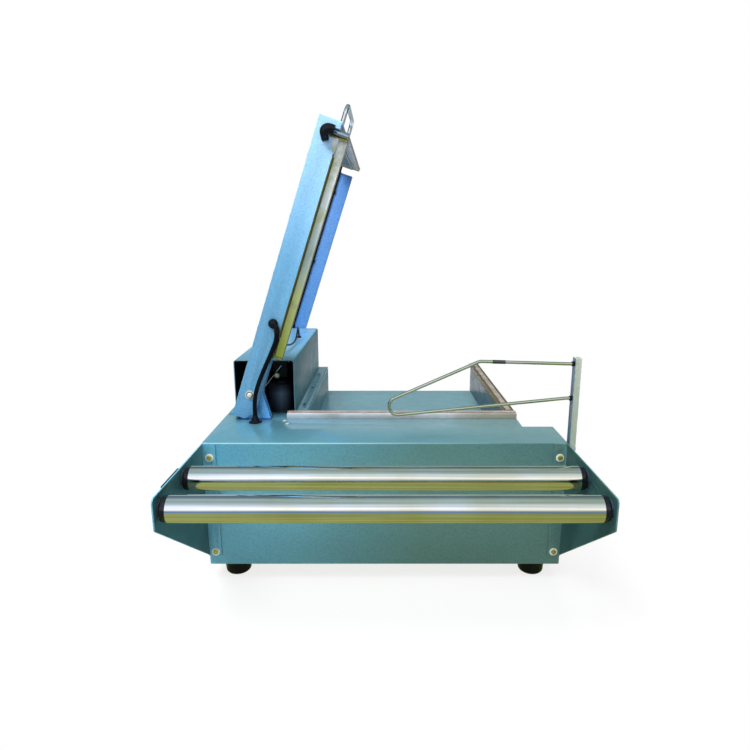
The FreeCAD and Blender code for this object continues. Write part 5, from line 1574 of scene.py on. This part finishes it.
@dataclass
class Studio:
    """Floor, light and camera.

    The camera's focal length and sensor are in millimetres, its pitch in degrees up from straight
    down, its eye in the machine's millimetres and its shift in shares of the picture. The cards
    stand wide of the middle, from near to far and up to roof, and the bench card lies at bench_top
    as far as edge, in metres.
    """

    bench: Bench
    focal: float = 26.80
    sensor: float = 36.0
    pitch: float = 77.6
    eye: tuple = (307.6, -893.0, 584.3)
    shift: tuple = (-0.01107, -0.01427)
    wide: float = 5.0
    near: float = -3.2
    far: float = 6.0
    roof: float = 4.2
    bench_top: float = 0.002
    edge: float = 0.3

    def camera(self) -> None:
        """Set the camera where the photograph was taken from."""
        lens = bpy.data.cameras.new("camera")
        lens.lens = self.focal
        lens.sensor_width = self.sensor
        lens.shift_x, lens.shift_y = self.shift
        lens.clip_start = 0.05
        lens.clip_end = 60.0
        holder = put("camera", lens)
        holder.location = self.bench.at(self.eye)
        holder.rotation_euler = (math.radians(self.pitch), 0.0, 0.0)
        bpy.context.scene.camera = holder

    def lamp(self, name: str, place: Sequence, aim: Sequence, size: tuple, power: float,
             colour: Colour = LAMP_WHITE) -> None:
        """Hang one soft rectangular lamp.

        Args:
            name: the lamp's name.
            place: where it hangs, in metres.
            aim: the point it faces, in metres.
            size: its width and height in metres.
            power: its power in watts.
            colour: its colour.
        """
        light = bpy.data.lights.new(name, "AREA")
        light.shape = "RECTANGLE"
        light.size, light.size_y = size
        light.energy = power
        light.color = colour
        holder = put(name, light)
        holder.location = place
        holder.rotation_euler = (Vector(aim) - Vector(place)).to_track_quat("-Z", "Y").to_euler()
        holder.visible_glossy = False

    def card(self, name: str, corners: Sequence, way: Way, low: float, high: float,
             stops: Sequence) -> None:
        """Stand a card that only gloss reflects, as a studio does to shape its highlights.

        Args:
            name: the card's name.
            corners: its four corners in metres.
            way: the direction along which its shade changes.
            low: where the change starts, in metres.
            high: where it ends.
            stops: pairs of place and colour, as for Nodes.ramp.
        """
        thing = Sheet.piece(name, np.array(corners, float), [[0, 1, 2, 3]])
        nodes = Nodes(name)
        glow = nodes.add("ShaderNodeEmission")
        nodes.feed(glow.inputs["Color"], nodes.ramp(nodes.span(way, low, high), stops))
        nodes.feed(glow.inputs["Strength"], 1.15)
        nodes.show(glow)
        thing.data.materials.append(nodes.material)
        thing.visible_camera = False
        thing.visible_diffuse = False
        thing.visible_shadow = False
        thing.visible_transmission = False

    def cards(self) -> None:
        """Stand the front, roof, back and bench cards round the machine."""
        self.card("front_card", self.upright(self.near), UP, 0.0, self.roof,
                  [(0.10, DUSK_BLUE), (0.29, LAMP_WHITE), (0.45, LAMP_WHITE), (0.72, SKY_BLUE)])
        self.card("roof_card", self.level(self.roof, self.far), BACK, self.near, self.far,
                  [(0.0, SKY_BLUE), (0.2, CEILING_GREY), (0.4, CEILING_GREY), (0.7, SHADE_GREY)])
        self.card("back_card", self.upright(self.far), UP, 0.0, self.roof,
                  [(0.5, CEILING_GREY), (0.9, SHADE_GREY)])
        self.card("bench_card", self.level(self.bench_top, self.edge), BACK, self.near, self.edge,
                  [(0.3, DUSK_BLUE), (0.62, BENCH_OLIVE)])

    def upright(self, y: float) -> list:
        """Return the corners of a card that stands across the studio at y."""
        wide = self.wide
        return [(-wide, y, 0), (wide, y, 0), (wide, y, self.roof), (-wide, y, self.roof)]

    def level(self, z: float, end: float) -> list:
        """Return the corners of a card that lies at z, from near to an end."""
        wide = self.wide
        return [(-wide, self.near, z), (wide, self.near, z), (wide, end, z), (-wide, end, z)]

    def world(self) -> None:
        """Fill with a pale sky, dimmer to both sides, that the camera sees as white.

        The strength falls from the middle to the sides with the direction's share along x.
        """
        world = bpy.data.worlds.new("sky")
        world.use_nodes = True
        tree = world.node_tree
        sky = tree.nodes["Background"]
        path = tree.nodes.new("ShaderNodeLightPath")
        way = tree.nodes.new("ShaderNodeTexCoord")
        split = tree.nodes.new("ShaderNodeSeparateXYZ")
        side = tree.nodes.new("ShaderNodeMath")
        side.operation = "ABSOLUTE"
        fall = tree.nodes.new("ShaderNodeMapRange")
        for key, value in (("From Min", 0.35), ("From Max", 0.9), ("To Min", 0.50), ("To Max", 0.08)):
            fall.inputs[key].default_value = value
        mix = tree.nodes.new("ShaderNodeMix")
        mix.data_type = "FLOAT"
        mix.inputs["B"].default_value = 1.0
        tree.links.new(way.outputs["Generated"], split.inputs[0])
        tree.links.new(split.outputs["X"], side.inputs[0])
        tree.links.new(side.outputs[0], fall.inputs["Value"])
        tree.links.new(fall.outputs["Result"], mix.inputs["A"])
        tree.links.new(path.outputs["Is Camera Ray"], mix.inputs["Factor"])
        tree.links.new(mix.outputs["Result"], sky.inputs["Strength"])
        sky.inputs["Color"].default_value = (*LAMP_WHITE, 1.0)
        bpy.context.scene.world = world

    def floor(self) -> None:
        """Lay a plain pale floor that keeps the machine's shadow and fades to white round it.

        To the camera the floor turns to plain white between two distances from the machine.
        """
        span = 9.0
        corners = [(-span, -span, 0), (span, -span, 0), (span, span, 0), (-span, span, 0)]
        thing = Sheet.piece("floor", np.array(corners, float), [[0, 1, 2, 3]])
        nodes = Nodes("pale_floor")
        nodes.set(Base_Color=(0.86, 0.86, 0.86), Roughness=0.9, Specular_IOR_Level=0.0)
        path = nodes.add("ShaderNodeLightPath").outputs["Is Camera Ray"]
        length = nodes.add("ShaderNodeVectorMath", operation="LENGTH")
        nodes.feed(length.inputs[0], nodes.place)
        far = nodes.ramp(length.outputs["Value"], [(0.42, 0.80), (0.60, 1.0)])
        glow = nodes.add("ShaderNodeEmission")
        both = nodes.add("ShaderNodeMixShader")
        nodes.feed(both.inputs[0], nodes.reckon("MULTIPLY", far, path))
        nodes.tree.links.new(nodes.shader.outputs[0], both.inputs[1])
        nodes.tree.links.new(glow.outputs[0], both.inputs[2])
        nodes.show(both)
        thing.data.materials.append(nodes.material)

    def build(self) -> None:
        """Set the whole studio."""
        self.camera()
        self.world()
        self.floor()
        self.lamp("key_light", (-1.1, -1.25, 2.5), (0.0, 0.0, 0.3), (1.1, 0.9), 74.0, (0.96, 0.99, 1.0))
        self.lamp("top_light", (0.0, 0.0, 2.4), (0.0, 0.1, 0.3), (1.6, 1.6), 40.0)
        self.cards()
        bpy.context.scene.view_settings.view_transform = "Standard"


def main() -> None:
    """Load the frame, set the studio and build every sub-assembly."""
    logging.basicConfig(level=logging.INFO, format="%(message)s")
    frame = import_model()
    bench = Bench(frame)
    Studio(bench).build()
    for part in (Casing, Rollers, SealingBase, Lid, Cables, Opener, Works, Panel):
        part(frame, bench).build()


if __name__ == "__main__":
    main()
